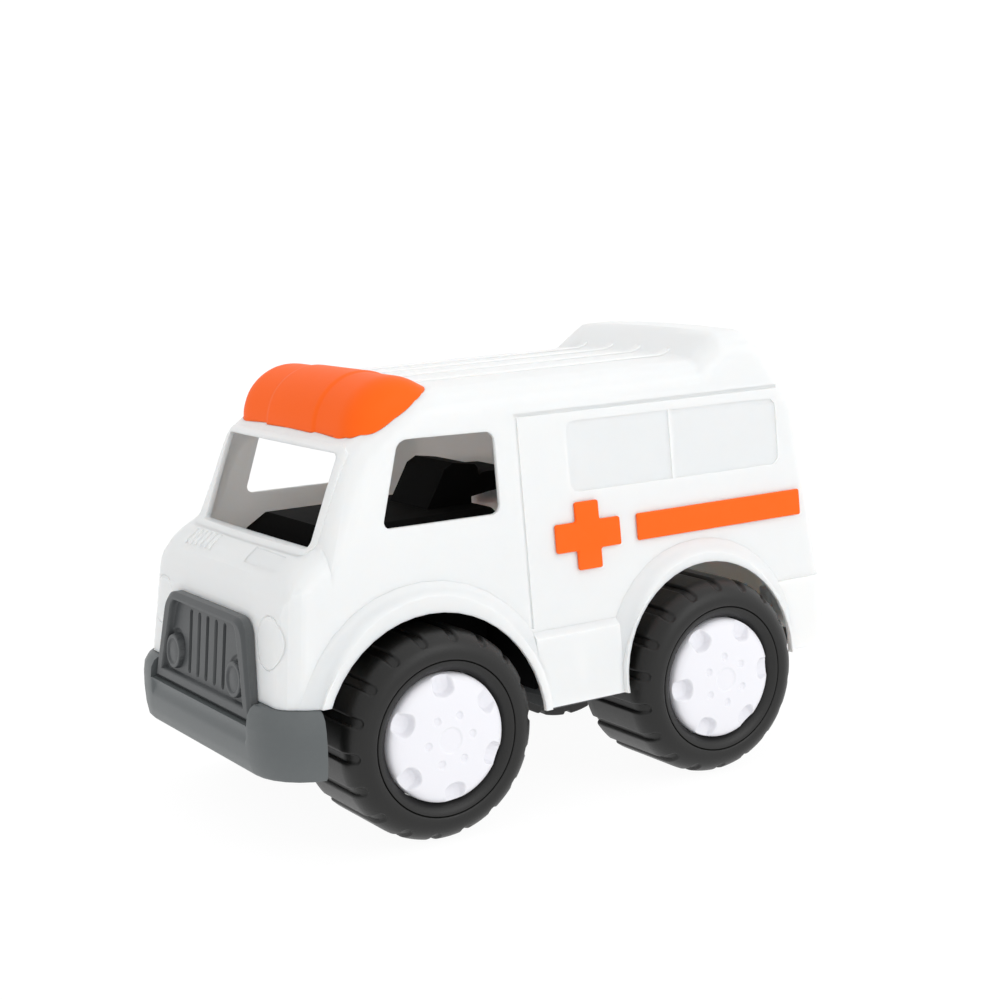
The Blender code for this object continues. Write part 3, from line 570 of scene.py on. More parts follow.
def flowing(points: list[Vector], step: float, closed: bool = False) -> list[Vector]:
    """A smooth path through points, cut into even lengths.

    Args:
        points: The points that it passes through.
        step: About how long each length is.
        closed: Whether it comes back to its first point.

    Returns:
        The points of the path.
    """
    count = len(points)
    path = []
    for i in range(count if closed else count - 1):
        if closed:
            before, here, there, after = (points[(i + k) % count] for k in (-1, 0, 1, 2))
        else:
            before, after = points[max(i - 1, 0)], points[min(i + 2, count - 1)]
            here, there = points[i], points[i + 1]
        pieces = max(1, round((there - here).length / step))
        for k in range(pieces):
            t = k / pieces
            path.append(
                here
                + (there - before) * 0.5 * t
                + (before - here * 2.5 + there * 2.0 - after * 0.5) * t * t
                + ((here - there) * 1.5 + (after - before) * 0.5) * t * t * t
            )
    return path if closed else path + [points[-1]]


def spun(rows: list[Pair], share: int, steps: int, closed: bool) -> tuple[BMesh, BMLayerItem]:
    """Spins a profile round the X axis, through one of several equal shares of a turn.

    Args:
        rows: The profile as (x, radius) pairs.
        share: How many such shares make the full turn.
        steps: How many steps the share takes.
        closed: Whether the profile comes back to its first point.

    Returns:
        The bmesh, centred on the Y axis, and the layer that holds each vertex's place in the profile.
    """
    shape = bmesh.new()
    row = shape.verts.layers.int.new("row")
    angle = 2.0 * math.pi / share
    line = [
        shape.verts.new((x, radius * math.cos(angle / 2.0), -radius * math.sin(angle / 2.0)))
        for x, radius in rows
    ]
    for i, vertex in enumerate(line):
        vertex[row] = i
    edges = [shape.edges.new(pair) for pair in zip(line, line[1:])]
    if closed:
        edges.append(shape.edges.new((line[-1], line[0])))
    bmesh.ops.spin(
        shape,
        geom=line + edges,
        cent=(0.0, 0.0, 0.0),
        axis=(1.0, 0.0, 0.0),
        angle=angle,
        steps=steps,
        use_merge=False,
    )
    return shape, row


def repeated(shape: BMesh, share: int, phase: float) -> None:
    """Repeats one share of a wheel piece until the turn is full, and turns the whole.

    Args:
        shape: The bmesh of one share.
        share: How many shares make the full turn.
        phase: The angle that the whole is turned by.
    """
    one = shape.verts[:] + shape.edges[:] + shape.faces[:]
    for k in range(1, share):
        copy = bmesh.ops.duplicate(shape, geom=one)["geom"]
        bmesh.ops.rotate(
            shape,
            verts=[v for v in copy if isinstance(v, BMVert)],
            cent=(0.0, 0.0, 0.0),
            matrix=Matrix.Rotation(2.0 * math.pi * k / share, 3, "X"),
        )
    bmesh.ops.remove_doubles(shape, verts=shape.verts, dist=WELD)
    bmesh.ops.rotate(
        shape, verts=shape.verts, cent=(0.0, 0.0, 0.0), matrix=Matrix.Rotation(phase, 3, "X")
    )


@dataclass(frozen=True)
class Bounds:
    """A box across the toy, from (y, z) to (y, z), whose fine edges keep their corners."""

    half: float
    low: Pair
    high: Pair

    def holds(self, place: Vector) -> bool:
        """Whether a place lies in the box.

        Args:
            place: The place.

        Returns:
            True if it does.
        """
        deep = self.low[0] < place.y < self.high[0]
        return abs(place.x) < self.half and deep and self.low[1] < place.z < self.high[1]


@dataclass
class MouldedSkin:
    """A CAD node's own shape with its triangles merged and its moulded edges rounded."""

    node: str
    body: Body
    slot: str
    finish: Finish
    edge: float = 0.35 * MM
    segments: int = 2
    sharp: float = 32.0
    corner: float = 0.0
    corner_segments: int = 5
    corner_angle: float = 50.0
    corner_share: float = 0.6
    merge: float = 1.0
    crisp: tuple[Bounds, ...] = ()

    def model(self, shape: BMesh) -> None:
        """Leaves a plain skin as the solid is.

        Args:
            shape: The merged mesh of the node.
        """

    def build(self) -> Object:
        """Makes the skin and puts it in the node's place.

        Returns:
            The finished piece.
        """
        shape = bmesh.new()
        shape.from_mesh(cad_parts[self.node].data)
        bmesh.ops.remove_doubles(shape, verts=shape.verts, dist=WELD)
        bmesh.ops.dissolve_limit(
            shape, angle_limit=math.radians(self.merge), verts=shape.verts, edges=shape.edges
        )
        if self.corner:
            upright = [
                edge
                for edge in shape.edges
                if edge.calc_face_angle(0.0) > math.radians(self.corner_angle)
                and abs((edge.verts[0].co - edge.verts[1].co).normalized().x) > self.corner_share
            ]
            bmesh.ops.bevel(
                shape,
                geom=upright,
                offset=self.corner,
                segments=self.corner_segments,
                profile=0.5,
                affect="EDGES",
                material=-1,
            )
        self.model(shape)
        rounded = shape.edges.layers.float.new("bevel_weight_edge")
        for edge in shape.edges:
            middle = (edge.verts[0].co + edge.verts[1].co) / 2.0
            if edge.calc_face_angle(0.0) > math.radians(self.sharp):
                edge[rounded] = float(not any(box.holds(middle) for box in self.crisp))
        piece = new_object(self.node + "_skin", shape)
        if self.edge:
            rounding = piece.modifiers.new("edges", "BEVEL")
            rounding.width = self.edge
            rounding.segments = self.segments
            rounding.limit_method = "WEIGHT"
            rounding.harden_normals = False
        shade(piece, self.sharp)
        flats = piece.modifiers.new("flats", "WEIGHTED_NORMAL")
        flats.keep_sharp = True
        return dress(piece, self.body, self.slot, self.finish, self.node)


@dataclass
class BumperSkin(MouldedSkin):
    """The bumper, whose middle has a shallow cove under the foot of the grille."""

    cove_half: float = 56.4 * MM
    cove_top: float = 63.0 * MM
    cove_drop: float = 10.0 * MM
    cove_depth: float = 1.5 * MM
    cove_blend: float = 2.2 * MM
    cove_skew: float = 1.4
    cove_cuts: tuple[int, int] = (8, 3)
    front_y: float = -150.0 * MM

    def model(self, shape: BMesh) -> None:
        """Hollows the bumper's middle under the grille.

        Args:
            shape: The merged mesh of the bumper.
        """
        low, wide = self.cove_cuts
        levels = [self.cove_top - self.cove_drop * k / low for k in range(low + 1)]
        places = [self.cove_half - self.cove_blend * k / wide for k in range(wide + 1)]
        cuts = [((0.0, 0.0, z), (0.0, 0.0, 1.0)) for z in levels]
        cuts += [((side * x, 0.0, 0.0), (1.0, 0.0, 0.0)) for x in places for side in (-1.0, 1.0)]
        for place, facing in cuts:
            bmesh.ops.bisect_plane(
                shape,
                geom=shape.verts[:] + shape.edges[:] + shape.faces[:],
                plane_co=place,
                plane_no=facing,
            )
        for vertex in shape.verts:
            x, y, z = vertex.co
            if y < self.front_y and z < self.cove_top + 0.5 * MM:
                across = eased((self.cove_half - abs(x)) / self.cove_blend)
                down = min(max(1.0 - (self.cove_top - z) / self.cove_drop, 0.0), 1.0)
                vertex.co.y += self.cove_depth * across * math.sin(math.pi * down**self.cove_skew)


def dress(piece: Object, body: Body, slot: str, finish: Finish, *nodes: str) -> Object:
    """Gives a piece its finish and body, and lets it stand for CAD nodes.

    Args:
        piece: The object to dress.
        body: The body that it rides on.
        slot: The record's material slot; not used.
        finish: The finish that it wears.
        nodes: The CAD nodes that it replaces.

    Returns:
        The same object.
    """
    piece.data.materials.clear()
    piece.data.materials.append(finish.material(piece.name))
    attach(piece, body.value)
    if nodes:
        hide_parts(*nodes)
    return piece


@dataclass
class RoofLight:
    """The domed light over the windshield: smooth sections that close in towards both ends."""

    node: str = "roof_light"
    section: Profile = (
        (-104.8, 185.0), (-105.2, 189.0), (-104.2, 195.0), (-100.8, 202.6), (-95.0, 208.8), (-87.5, 213.0),
        (-79.5, 214.5), (-71.0, 213.4), (-64.0, 210.3), (-58.0, 206.2), (-55.5, 199.0), (-82.0, 187.0),
    )
    middle: Pair = (-83.0, 190.0)
    half_length: float = 66.0 * MM
    straight: float = 46.0 * MM
    fullness: float = 2.8
    band_half: float = 25.0 * MM
    band_rise: float = 0.032
    band_edge: float = 0.9 * MM
    step: float = 0.9 * MM
    end_trim: float = 0.0005

    def scale_at(self, x: float) -> float:
        """How large the section is at one place along the light.

        Args:
            x: The distance from the middle of the light.

        Returns:
            The scale of the section there.
        """
        away = abs(x)
        reach = min(max((away - self.straight) / (self.half_length - self.straight), 0.0), 1.0)
        scale = max(1.0 - reach**self.fullness, 0.0) ** (1.0 / self.fullness)
        return scale + self.band_rise * eased(0.5 + (self.band_half - away) / self.band_edge)

    def build(self) -> Object:
        """Bridges the sections of the light and cuts its foot to the roof.

        Returns:
            The finished light.
        """
        middle = Vector(self.middle) * MM
        around = flowing([Vector(p) * MM for p in self.section], self.step, closed=True)
        count = 2 * round(self.half_length / self.step)
        shape = bmesh.new()
        edge = []
        for k in range(count + 1):
            turn = math.pi * k / count
            x = -self.half_length * math.cos(turn) * (1.0 - self.end_trim)
            points = [middle + (p - middle) * self.scale_at(x) for p in around]
            ring = [shape.verts.new((x, p.x, p.y)) for p in points]
            fresh = [shape.edges.new(pair) for pair in zip(ring, ring[1:] + ring[:1])]
            if edge:
                bmesh.ops.bridge_loops(shape, edges=edge + fresh)
            edge = fresh
        bmesh.ops.holes_fill(shape, edges=[e for e in shape.edges if e.is_boundary], sides=0)
        bmesh.ops.recalc_face_normals(shape, faces=shape.faces)
        piece = seated(new_object(self.node + "_dome", shape), "body_shell")
        shade(piece, 50.0)
        return dress(piece, Body.VEHICLE, "orange", ORANGE, self.node)


@dataclass
class Tyre:
    """A hollow moulded tyre: a plain tread and shoulder with rounded cross grooves and a bead line."""

    node: str
    body: Body
    side: Side
    phase: float
    radius: float = 50.0 * MM
    inner: float = 44.0 * MM
    outer: float = 97.0 * MM
    shoulder: Pair = (12.8 * MM, 10.5 * MM)
    bead_radius: float = 36.8 * MM
    rim: Pair = (91.9 * MM, 31.1 * MM)
    well: Pair = (80.3 * MM, 42.8 * MM)
    grooves: int = 18
    groove_half: float = 2.2 * MM
    groove_depth: Pair = (1.6 * MM, 1.15 * MM)
    groove_end: float = math.radians(50.0)
    groove_edge: float = 0.55 * MM
    inner_edge: float = 1.2 * MM
    lip: Profile = (
        (0.1, 1.4), (0.3, 0.75), (0.45, 0.4), (0.75, 0.22), (1.25, 0.0), (0.85, -0.25),
        (0.6, -0.45), (0.65, -0.9), (0.9, -1.8), (1.5, -2.9), (2.5, -4.1), (3.6, -5.0),
    )
    lanes: int = 8
    turns: int = 34
    shoulder_turn: float = math.radians(88.0)
    steps: int = 30

    def rows(self) -> list[Pair]:
        """The profile, from the inner edge of the tread round to the hollow back."""
        edge = self.inner_edge
        top, flat_end = self.radius, self.outer - self.shoulder[0]
        rows = [
            (self.inner + edge * (1.0 - math.cos(a)), top - edge * (1.0 - math.sin(a)))
            for a in (math.radians(d) for d in (0, 30, 60, 90))
        ]
        start = self.inner + edge
        rows += [(start + (flat_end - start) * k / self.lanes, top) for k in range(1, self.lanes)]
        for k in range(self.turns + 1):
            angle = self.shoulder_turn * k / self.turns
            rows.append(
                (
                    flat_end + self.shoulder[0] * math.sin(angle),
                    top - self.shoulder[1] * (1.0 - math.cos(angle)),
                )
            )
        bead, face = self.bead_radius, self.outer
        rows += [(face - back * MM, bead + rise * MM) for back, rise in self.lip]
        rows += [self.rim, (self.well[0], self.rim[1]), self.well, (self.inner, self.well[1])]
        return rows

    def build(self) -> Object:
        """Spins the tyre and presses its grooves in.

        Returns:
            The finished tyre.
        """
        rows = self.rows()
        shape, layer = spun(rows, self.grooves, self.steps, closed=True)
        lengths = [0.0]
        for a, b in zip(rows, rows[1:]):
            lengths.append(lengths[-1] + math.dist(a, b))
        flat_end = self.outer - self.shoulder[0]
        bend = sum(self.shoulder) / 2.0
        turn_start = next(s for s, row in zip(lengths, rows) if row[0] >= flat_end - WELD)
        end = turn_start + self.groove_end * bend
        for vertex in shape.verts:
            place = vertex[layer]
            along = end - lengths[place]
            if along < -2.0 * self.groove_half:
                continue
            across = rows[place][1] * math.atan2(vertex.co.z, vertex.co.y)
            beyond = math.hypot(across, min(along, 0.0)) - self.groove_half
            pressed = eased(0.5 - beyond / self.groove_edge)
            if not pressed:
                continue
            share = min(max((lengths[place] - turn_start) / (end - turn_start), 0.0), 1.0)
            depth = self.groove_depth[0] + (self.groove_depth[1] - self.groove_depth[0]) * share
            lean = min(max((lengths[place] - turn_start) / bend, 0.0), math.pi / 2)
            ray = Vector((0.0, vertex.co.y, vertex.co.z)).normalized()
            vertex.co -= (ray * math.cos(lean) + Vector((math.sin(lean), 0.0, 0.0))) * depth * pressed
        repeated(shape, self.grooves, self.phase)
        seat_on_axle(shape, self.node, self.side)
        piece = new_object(self.node + "_moulding", shape)
        shade(piece, 55.0)
        return dress(piece, self.body, "tyre", TYRE, self.node)


def seat_on_axle(shape: BMesh, node: str, side: Side) -> None:
    """Mirrors a wheel piece to its side and moves it from the X axis to its axle.

    Args:
        shape: The piece's bmesh.
        node: The CAD node that it stands for.
        side: The side of the toy that it is on.
    """
    low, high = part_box(node)
    middle = Vector((0.0, 0.0, AXLE_HEIGHT))
    middle.y = math.copysign(AXLE_REACH, low[1] + high[1])
    bmesh.ops.scale(shape, vec=(float(side.value), 1.0, 1.0), verts=shape.verts)
    bmesh.ops.translate(shape, vec=middle, verts=shape.verts)
    bmesh.ops.recalc_face_normals(shape, faces=shape.faces)


@dataclass
class Hub:
    """A domed wheel cap with a pocket, a dimple and a share of the centre disc in each sixth."""

    node: str
    body: Body
    side: Side
    phase: float
    face: float = 99.3 * MM
    dome: Profile = (
        (0.0, 0.0), (0.1, 6.0), (0.3, 12.0), (0.7, 19.0),
        (1.5, 25.0), (2.6, 28.2), (4.4, 30.0), (7.5, 30.6),
    )
    back: Profile = (
        (18.5, 30.6), (18.5, 27.6), (11.5, 27.1), (7.3, 20.0), (6.0, 7.0),
        (55.3, 7.0), (55.3, 2.5), (3.5, 2.5), (3.5, 0.0),
    )
    scoops: int = 6
    scoop_start: float = 20.4 * MM
    scoop_half: float = 6.3 * MM
    scoop_end: float = 4.2 * MM
    scoop_depth: float = 5.6 * MM
    scoop_wall: float = 1.7 * MM
    scoop_foot: float = 0.75
    scoop_edge: float = 0.6 * MM
    dimple_circle: float = 11.9 * MM
    dimple_radius: float = 2.3 * MM
    dimple_depth: float = 0.9 * MM
    dimple_wall: float = 1.4
    disc_radius: float = 6.4 * MM
    disc_depth: float = 0.6 * MM
    disc_edge: float = 0.9 * MM
    step: float = 0.35 * MM
    steps: int = 72

    def pressed(self, y: float, z: float) -> float:
        """How deep the centre disc and the dimple lie at one place.

        Args:
            y: The distance along the line from the axle through the scoop.
            z: The distance across that line.

        Returns:
            The depth below the face.
        """
        radius, angle = math.hypot(y, z), math.atan2(z, y)
        disc = self.disc_depth * eased((self.disc_radius - radius) / self.disc_edge)
        sixth = math.pi / self.scoops
        turned = math.copysign(abs(angle) - sixth, angle)
        gap = math.hypot(
            radius * math.cos(turned) - self.dimple_circle, radius * math.sin(turned)
        )
        bowl = max(1.0 - (gap / self.dimple_radius) ** 2, 0.0)
        return disc + self.dimple_depth * eased(self.dimple_wall * bowl)

    def scooped(self, y: float, z: float) -> float:
        """How deep the scoop's floor lies at one place.

        Args:
            y: The distance along the scoop's middle line.
            z: The distance across it.

        Returns:
            The depth below the face, or less than nothing outside the scoop.
        """
        bend = min(y - self.scoop_start - self.scoop_end, 0.0) / self.scoop_end
        inside = 1.0 - math.hypot(z / self.scoop_half, bend)
        steep = inside * self.scoop_end / self.scoop_wall
        gentle = self.scoop_foot + (1.0 - self.scoop_foot) * steep / 2.0
        return self.scoop_depth * min(steep, gentle, 1.0)

    def build(self) -> Object:
        """Spins a sixth of the cap, presses its scoop and dimples in and repeats it.

        Returns:
            The finished cap.
        """
        dome = flowing([Vector((-drop, r)) * MM for drop, r in self.dome], self.step)
        rows = [(self.face + p.x, p.y) for p in dome]
        front = len(rows)
        rows += [(self.face - drop * MM, r * MM) for drop, r in self.back]
        shape, layer = spun(rows, self.scoops, self.steps, closed=False)
        for vertex in shape.verts:
            if vertex[layer] >= front:
                continue
            y, z = vertex.co.y, vertex.co.z
            height = vertex.co.x - self.pressed(y, z)
            if y > self.scoop_start - MM:
                height = soft_min(height, self.face - self.scooped(y, z), self.scoop_edge)
            vertex.co.x = height
        repeated(shape, self.scoops, self.phase + math.pi / self.scoops)
        seat_on_axle(shape, self.node, self.side)
        piece = new_object(self.node + "_cap", shape)
        shade(piece, 50.0)
        return dress(piece, self.body, "hub", HUB, self.node)


@dataclass
class Grille:
    """The leaning grille: a rounded frame round a sunk panel with slots and two round lamps."""

    node: str = "grille"
    low: Pair = (56.2 * MM, 63.0 * MM)
    high: Pair = (44.9 * MM, 108.8 * MM)
    corner: float = 9.0 * MM
    face_y: float = -161.2 * MM
    back_y: float = -156.6 * MM
    lean: float = 0.088
    back_lean: float = 0.119
    rim: float = 1.9 * MM
    rim_slope: float = 0.75
    sunk_low: Pair = (48.6 * MM, 68.4 * MM)
    sunk_high: Pair = (37.6 * MM, 105.6 * MM)
    sunk_corner: float = 4.5 * MM
    sunk_depth: float = 2.8 * MM
    sunk_slope: float = 1.1 * MM
    slots: int = 5
    slot_pitch: float = 9.8 * MM
    slot_half: float = 1.45 * MM
    slot_low: float = 72.8 * MM
    slot_high: float = 100.8 * MM
    slot_depth: float = 2.6 * MM
    slot_slope: float = 0.6 * MM
    lamp: Pair = (35.3 * MM, 79.5 * MM)
    lamp_radius: float = 8.5 * MM
    lamp_face: float = 0.5 * MM
    lamp_rim: float = 1.8 * MM
    lamp_dish: float = 0.8 * MM
    lamp_edge: float = 0.9 * MM
    lamp_crown: float = 0.5 * MM
    dish_slope: float = 0.8 * MM
    pocket_radius: float = 9.8 * MM
    pocket_rise: float = 1.6 * MM
    pocket_depth: float = 0.9 * MM
    pocket_slope: float = 1.4 * MM
    spacing: float = 0.4 * MM

    def outside(self, x: float, z: float, low: Pair, high: Pair, corner: float) -> float:
        """The distance to a trapezium with round upper corners, less than nothing inside it.

        Args:
            x: The place across the grille.
            z: The height of the place.
            low: Half the width and the height of the lower edge.
            high: Half the width and the height of the upper edge.
            corner: How far the upper corners are rounded.

        Returns:
            The distance.
        """
        tall, narrow = high[1] - low[1], low[0] - high[0]
        side = ((abs(x) - low[0]) * tall + (z - low[1]) * narrow) / math.hypot(tall, narrow)
        return max(-soft_min(-side, high[1] - z, corner), low[1] - z)

    def past_edge(self, x: float, z: float) -> float:
        """The distance to the frame's outline, less than nothing inside it.

        Args:
            x: The place across the grille.
            z: The height of the place.

        Returns:
            The distance.
        """
        return self.outside(x, z, self.low, self.high, self.corner)

    def lamp_depth(self, away: float) -> float:
        """The depth of a lamp's face below the frame's face.

        Args:
            away: The distance from the lamp's middle.

        Returns:
            The depth there.
        """
        edge = self.lamp_edge
        depth = self.lamp_face + edge - math.sqrt(
            max(edge**2 - max(away - self.lamp_radius + edge, 0.0) ** 2, 0.0)
        )
        dish = eased((self.lamp_radius - self.lamp_rim - away) / self.dish_slope)
        crown = self.lamp_crown * max(1.0 - (away / (self.lamp_radius - self.lamp_rim)) ** 2, 0.0)
        return depth + self.lamp_dish * dish - crown

    def depth(self, x: float, z: float) -> float:
        """How far the front lies behind the frame's face.

        Args:
            x: The place across the grille.
            z: The height of the place.

        Returns:
            The depth there.
        """
        rim = max(self.past_edge(x, z) + self.rim, 0.0)
        depth = self.rim_slope * rim
        sunk = self.outside(x, z, self.sunk_low, self.sunk_high, self.sunk_corner)
        depth += self.sunk_depth * eased(-sunk / self.sunk_slope)
        last = self.slots // 2
        middle = self.slot_pitch * max(-last, min(last, round(x / self.slot_pitch)))
        end = min(max(z, self.slot_low), self.slot_high)
        slot = math.hypot(x - middle, z - end) - self.slot_half
        depth += self.slot_depth * eased(0.5 - slot / self.slot_slope)
        lamp_x, lamp_z = self.lamp
        pocket = math.hypot(abs(x) - lamp_x, z - lamp_z - self.pocket_rise) - self.pocket_radius
        depth += self.pocket_depth * eased(-pocket / self.pocket_slope)
        away = math.hypot(abs(x) - lamp_x, z - lamp_z)
        if away < self.lamp_radius:
            depth = min(depth, self.lamp_depth(away))
        return depth

    def build(self) -> Object:
        """Presses the front into a fine grid, cuts it to its outline and gives it its back.

        Returns:
            The finished grille.
        """
        half, tall = self.low[0] + self.spacing, self.high[1] - self.low[1] + 2 * self.spacing
        middle = (self.low[1] + self.high[1]) / 2.0
        shape = bmesh.new()
        bmesh.ops.create_grid(
            shape,
            x_segments=round(2 * half / self.spacing),
            y_segments=round(tall / self.spacing),
            size=1.0,
        )
        away = {}
        for vertex in shape.verts:
            x, z = vertex.co.x * half, middle + vertex.co.y * tall / 2.0
            vertex.co = (x, 0.0, z)
            away[vertex] = self.past_edge(x, z)
        beyond = [face for face in shape.faces if all(away[v] > 0.0 for v in face.verts)]
        bmesh.ops.delete(shape, geom=beyond, context="FACES")
        small = 0.01 * MM
        for vertex in shape.verts:
            for _ in range(2 if vertex.is_boundary else 0):
                x, z = vertex.co.x, vertex.co.z
                here = self.past_edge(x, z)
                across, up = self.past_edge(x + small, z), self.past_edge(x, z + small)
                slope = Vector((across - here, 0.0, up - here))
                vertex.co -= slope.normalized() * here
        for vertex in shape.verts:
            vertex.co.y = self.depth(vertex.co.x, vertex.co.z)
        edge = [e for e in shape.edges if e.is_boundary]
        wall = bmesh.ops.extrude_edge_only(shape, edges=edge)["geom"]
        thickness = self.back_y - self.face_y
        for vertex in wall:
            if isinstance(vertex, BMVert):
                vertex.co.y = thickness
        bmesh.ops.holes_fill(shape, edges=[e for e in shape.edges if e.is_boundary], sides=0)
        for vertex in shape.verts:
            share = vertex.co.y / thickness
            lean = self.lean + (self.back_lean - self.lean) * share
            vertex.co.y += self.face_y + lean * (vertex.co.z - self.low[1])
        bmesh.ops.recalc_face_normals(shape, faces=shape.faces)
        piece = new_object(self.node + "_moulding", shape)
        shade(piece, 45.0)
        return dress(piece, Body.VEHICLE, "trim_grey", GREY, self.node)


# Sub-assemblies


@dataclass
class Bodywork:
    """The white shell with its light, badges, grille, bumper and cab."""

    skins: tuple[MouldedSkin, ...] = (
        MouldedSkin(
            "body_shell",
            Body.VEHICLE,
            "body",
            WHITE,
            merge=0.1,
            crisp=(
                Bounds(44.0 * MM, (-62.0 * MM, 185.0 * MM), (110.0 * MM, 240.0 * MM)),
                Bounds(60.0 * MM, (-162.0 * MM, 122.0 * MM), (-118.0 * MM, 140.0 * MM)),
            ),
        ),
        *(
            MouldedSkin(f"side_{badge}_{side.word}", Body.VEHICLE, "orange", ORANGE, corner=1.3 * MM)
            for badge in ("cross", "stripe")
            for side in Side
        ),
        BumperSkin("bumper", Body.VEHICLE, "trim_grey", LIT_BUMPER_GREY, edge=1.3 * MM, segments=4),
        MouldedSkin("cab_insert", Body.VEHICLE, "cab_black", BLACK),
    )

    def build(self) -> list[Object]:
        """Makes every skin of the bodywork, the light and the grille."""
        return [skin.build() for skin in self.skins] + [RoofLight().build(), Grille().build()]


@dataclass
class Underside:
    """The floor, the axle clamps and the screws."""

    skins: tuple[MouldedSkin, ...] = (
        MouldedSkin("chassis", Body.VEHICLE, "trim_grey", GREY),
        MouldedSkin("axle_clamp_front", Body.VEHICLE, "trim_grey", GREY),
        MouldedSkin("axle_clamp_rear", Body.VEHICLE, "trim_grey", GREY),
        *(
            MouldedSkin(f"screw_{spot}_{side.word}", Body.VEHICLE, "steel", STEEL, edge=0.2 * MM)
            for spot in ("front_clamp", "rear_clamp", "mid", "tail")
            for side in Side
        ),
    )

    def build(self) -> list[Object]:
        """Makes every skin of the underside."""
        return [skin.build() for skin in self.skins]


@dataclass
class Wheelset:
    """One axle with its two wheels."""

    end: str
    body: Body
    tyre_turn: float
    hub_turn: float

    def build(self) -> list[Object]:
        """Makes the axle and, on each side, the tyre and the hub.

        Returns:
            The five pieces.
        """
        pieces = [MouldedSkin(f"axle_{self.end}", self.body, "steel", STEEL).build()]
        for side in Side:
            name = f"{self.end}_{side.word}"
            pieces.append(Tyre(f"tyre_{name}", self.body, side, math.radians(self.tyre_turn)).build())
            pieces.append(Hub(f"hub_{name}", self.body, side, math.radians(self.hub_turn)).build())
        return pieces


@dataclass(frozen=True)
class SoftBox:
    """One soft light that faces the toy, with its power in watts."""

    name: str
    place: Triple
    size: Pair
    power: float


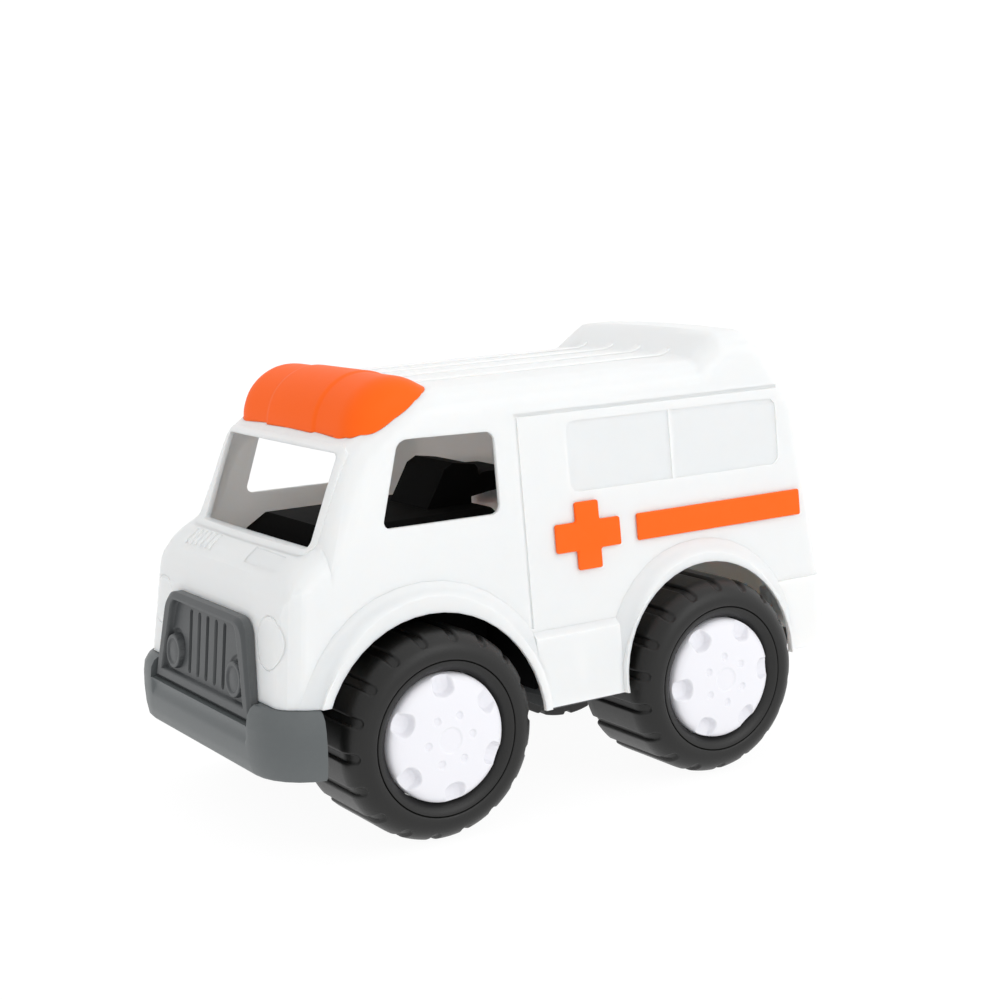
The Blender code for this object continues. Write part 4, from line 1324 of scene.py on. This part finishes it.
@dataclass
class Studio:
    """The pale floor, the soft lights and the camera."""

    eye: Triple = (0.8005, -0.491483, 0.296105)
    yaw: float = 57.784
    pitch: float = 9.468
    roll: float = -2.232
    lens: float = 66.18
    sensor: float = 36.0
    floor_size: float = 60.0
    floor_colour: float = 0.08
    floor_glow: float = 0.945
    sky: float = 1.08
    dim_sky: float = 0.81
    bright_side: Triple = (0.35, 0.94, 0.0)
    bright_reach: Pair = (-0.8, 0.4)
    aim: Triple = (0.0, 0.0, 0.10)
    boxes: tuple[SoftBox, ...] = (
        SoftBox("key_light", (1.3, 0.5, 0.9), (1.0, 0.8), 4.0),
        SoftBox("top_light", (0.0, 0.2, 1.6), (1.6, 1.6), 1.5),
    )

    def camera(self) -> Object:
        """Places the camera as the photograph was taken.

        Returns:
            The scene's camera.
        """
        yaw, pitch, roll = (math.radians(a) for a in (self.yaw, self.pitch, self.roll))
        forward = Vector(
            (-math.sin(yaw) * math.cos(pitch), math.cos(yaw) * math.cos(pitch), -math.sin(pitch))
        )
        flat_right = forward.cross(Vector((0.0, 0.0, 1.0))).normalized()
        flat_up = flat_right.cross(forward)
        right = math.cos(roll) * flat_right + math.sin(roll) * flat_up
        up = -math.sin(roll) * flat_right + math.cos(roll) * flat_up
        turn = Matrix((right, up, -forward)).transposed().to_4x4()
        data = bpy.data.cameras.new("photo_camera")
        data.lens = self.lens
        data.sensor_width = self.sensor
        data.clip_start = 0.01
        data.clip_end = 50.0
        camera = bpy.data.objects.new("photo_camera", data)
        bpy.context.scene.collection.objects.link(camera)
        camera.matrix_world = Matrix.Translation(Vector(self.eye)) @ turn
        bpy.context.scene.camera = camera
        return camera

    def floor(self) -> Object:
        """Makes the plain pale floor.

        Returns:
            The floor.
        """
        shape = bmesh.new()
        bmesh.ops.create_grid(shape, x_segments=1, y_segments=1, size=self.floor_size / 2)
        plane = new_object("floor", shape)
        plane.location.z = -0.2 * MM
        paint = bpy.data.materials.new("pale_floor")
        paint.use_nodes = True
        shader = paint.node_tree.nodes["Principled BSDF"]
        shader.inputs["Base Color"].default_value = (self.floor_colour,) * 3 + (1.0,)
        shader.inputs["Emission Color"].default_value = (1.0, 1.0, 1.0, 1.0)
        shader.inputs["Emission Strength"].default_value = self.floor_glow
        shader.inputs["Roughness"].default_value = 0.9
        shader.inputs["Specular IOR Level"].default_value = 0.1
        plane.data.materials.append(paint)
        return plane

    def lamp(self, box: SoftBox) -> Object:
        """Makes one soft box that faces the toy.

        Args:
            box: The soft box.

        Returns:
            The lamp.
        """
        data = bpy.data.lights.new(box.name, "AREA")
        data.shape = "RECTANGLE"
        data.size, data.size_y = box.size
        data.energy = box.power
        lamp = bpy.data.objects.new(box.name, data)
        bpy.context.scene.collection.objects.link(lamp)
        lamp.location = box.place
        toward = Vector(self.aim) - Vector(box.place)
        lamp.rotation_euler = toward.to_track_quat("-Z", "Y").to_euler()
        return lamp

    def surround(self) -> None:
        """Makes the white room: dimmer in front of the toy, and plain white where it is seen."""
        world = bpy.data.worlds.new("studio")
        world.use_nodes = True
        tree = world.node_tree
        back = tree.nodes["Background"]
        place = tree.nodes.new("ShaderNodeTexCoord")
        facing = tree.nodes.new("ShaderNodeVectorMath")
        facing.operation = "DOT_PRODUCT"
        facing.inputs[1].default_value = self.bright_side
        tree.links.new(place.outputs["Generated"], facing.inputs[0])
        ramp = tree.nodes.new("ShaderNodeMapRange")
        ramp.inputs["From Min"].default_value = self.bright_reach[0]
        ramp.inputs["From Max"].default_value = self.bright_reach[1]
        ramp.inputs["To Min"].default_value = self.dim_sky
        ramp.inputs["To Max"].default_value = self.sky
        tree.links.new(facing.outputs["Value"], ramp.inputs["Value"])
        seen = tree.nodes.new("ShaderNodeLightPath").outputs["Is Camera Ray"]
        strength = tree.nodes.new("ShaderNodeMix")
        tree.links.new(seen, strength.inputs["Factor"])
        tree.links.new(ramp.outputs["Result"], strength.inputs["A"])
        strength.inputs["B"].default_value = self.sky
        tree.links.new(strength.outputs["Result"], back.inputs["Strength"])
        back.inputs["Color"].default_value = (1.0, 1.0, 1.0, 1.0)
        bpy.context.scene.world = world

    def build(self) -> None:
        """Sets up the floor, the lights, the world and the camera."""
        self.floor()
        for box in self.boxes:
            self.lamp(box)
        self.surround()
        bpy.context.scene.view_settings.view_transform = "Standard"
        self.camera()


@dataclass
class ToyVan:
    """The whole toy, from its bodywork to its wheels."""

    bodywork: Bodywork = field(default_factory=Bodywork)
    underside: Underside = field(default_factory=Underside)
    wheelsets: tuple[Wheelset, ...] = (
        Wheelset("front", Body.FRONT, 1.5, 4.4),
        Wheelset("rear", Body.REAR, 10.0, 33.0),
    )

    def build(self) -> None:
        """Builds every sub-assembly in order and reports its pieces."""
        for part in (self.bodywork, self.underside, *self.wheelsets):
            for piece in part.build():
                LOG.info("%s: %s", type(part).__name__, piece.name)


def main() -> None:
    """Builds the toy and its studio."""
    logging.basicConfig(level=logging.INFO, format="%(name)s %(message)s")
    ToyVan().build()
    Studio().build()
    bpy.context.view_layer.update()


if __name__ == "__main__":
    main()
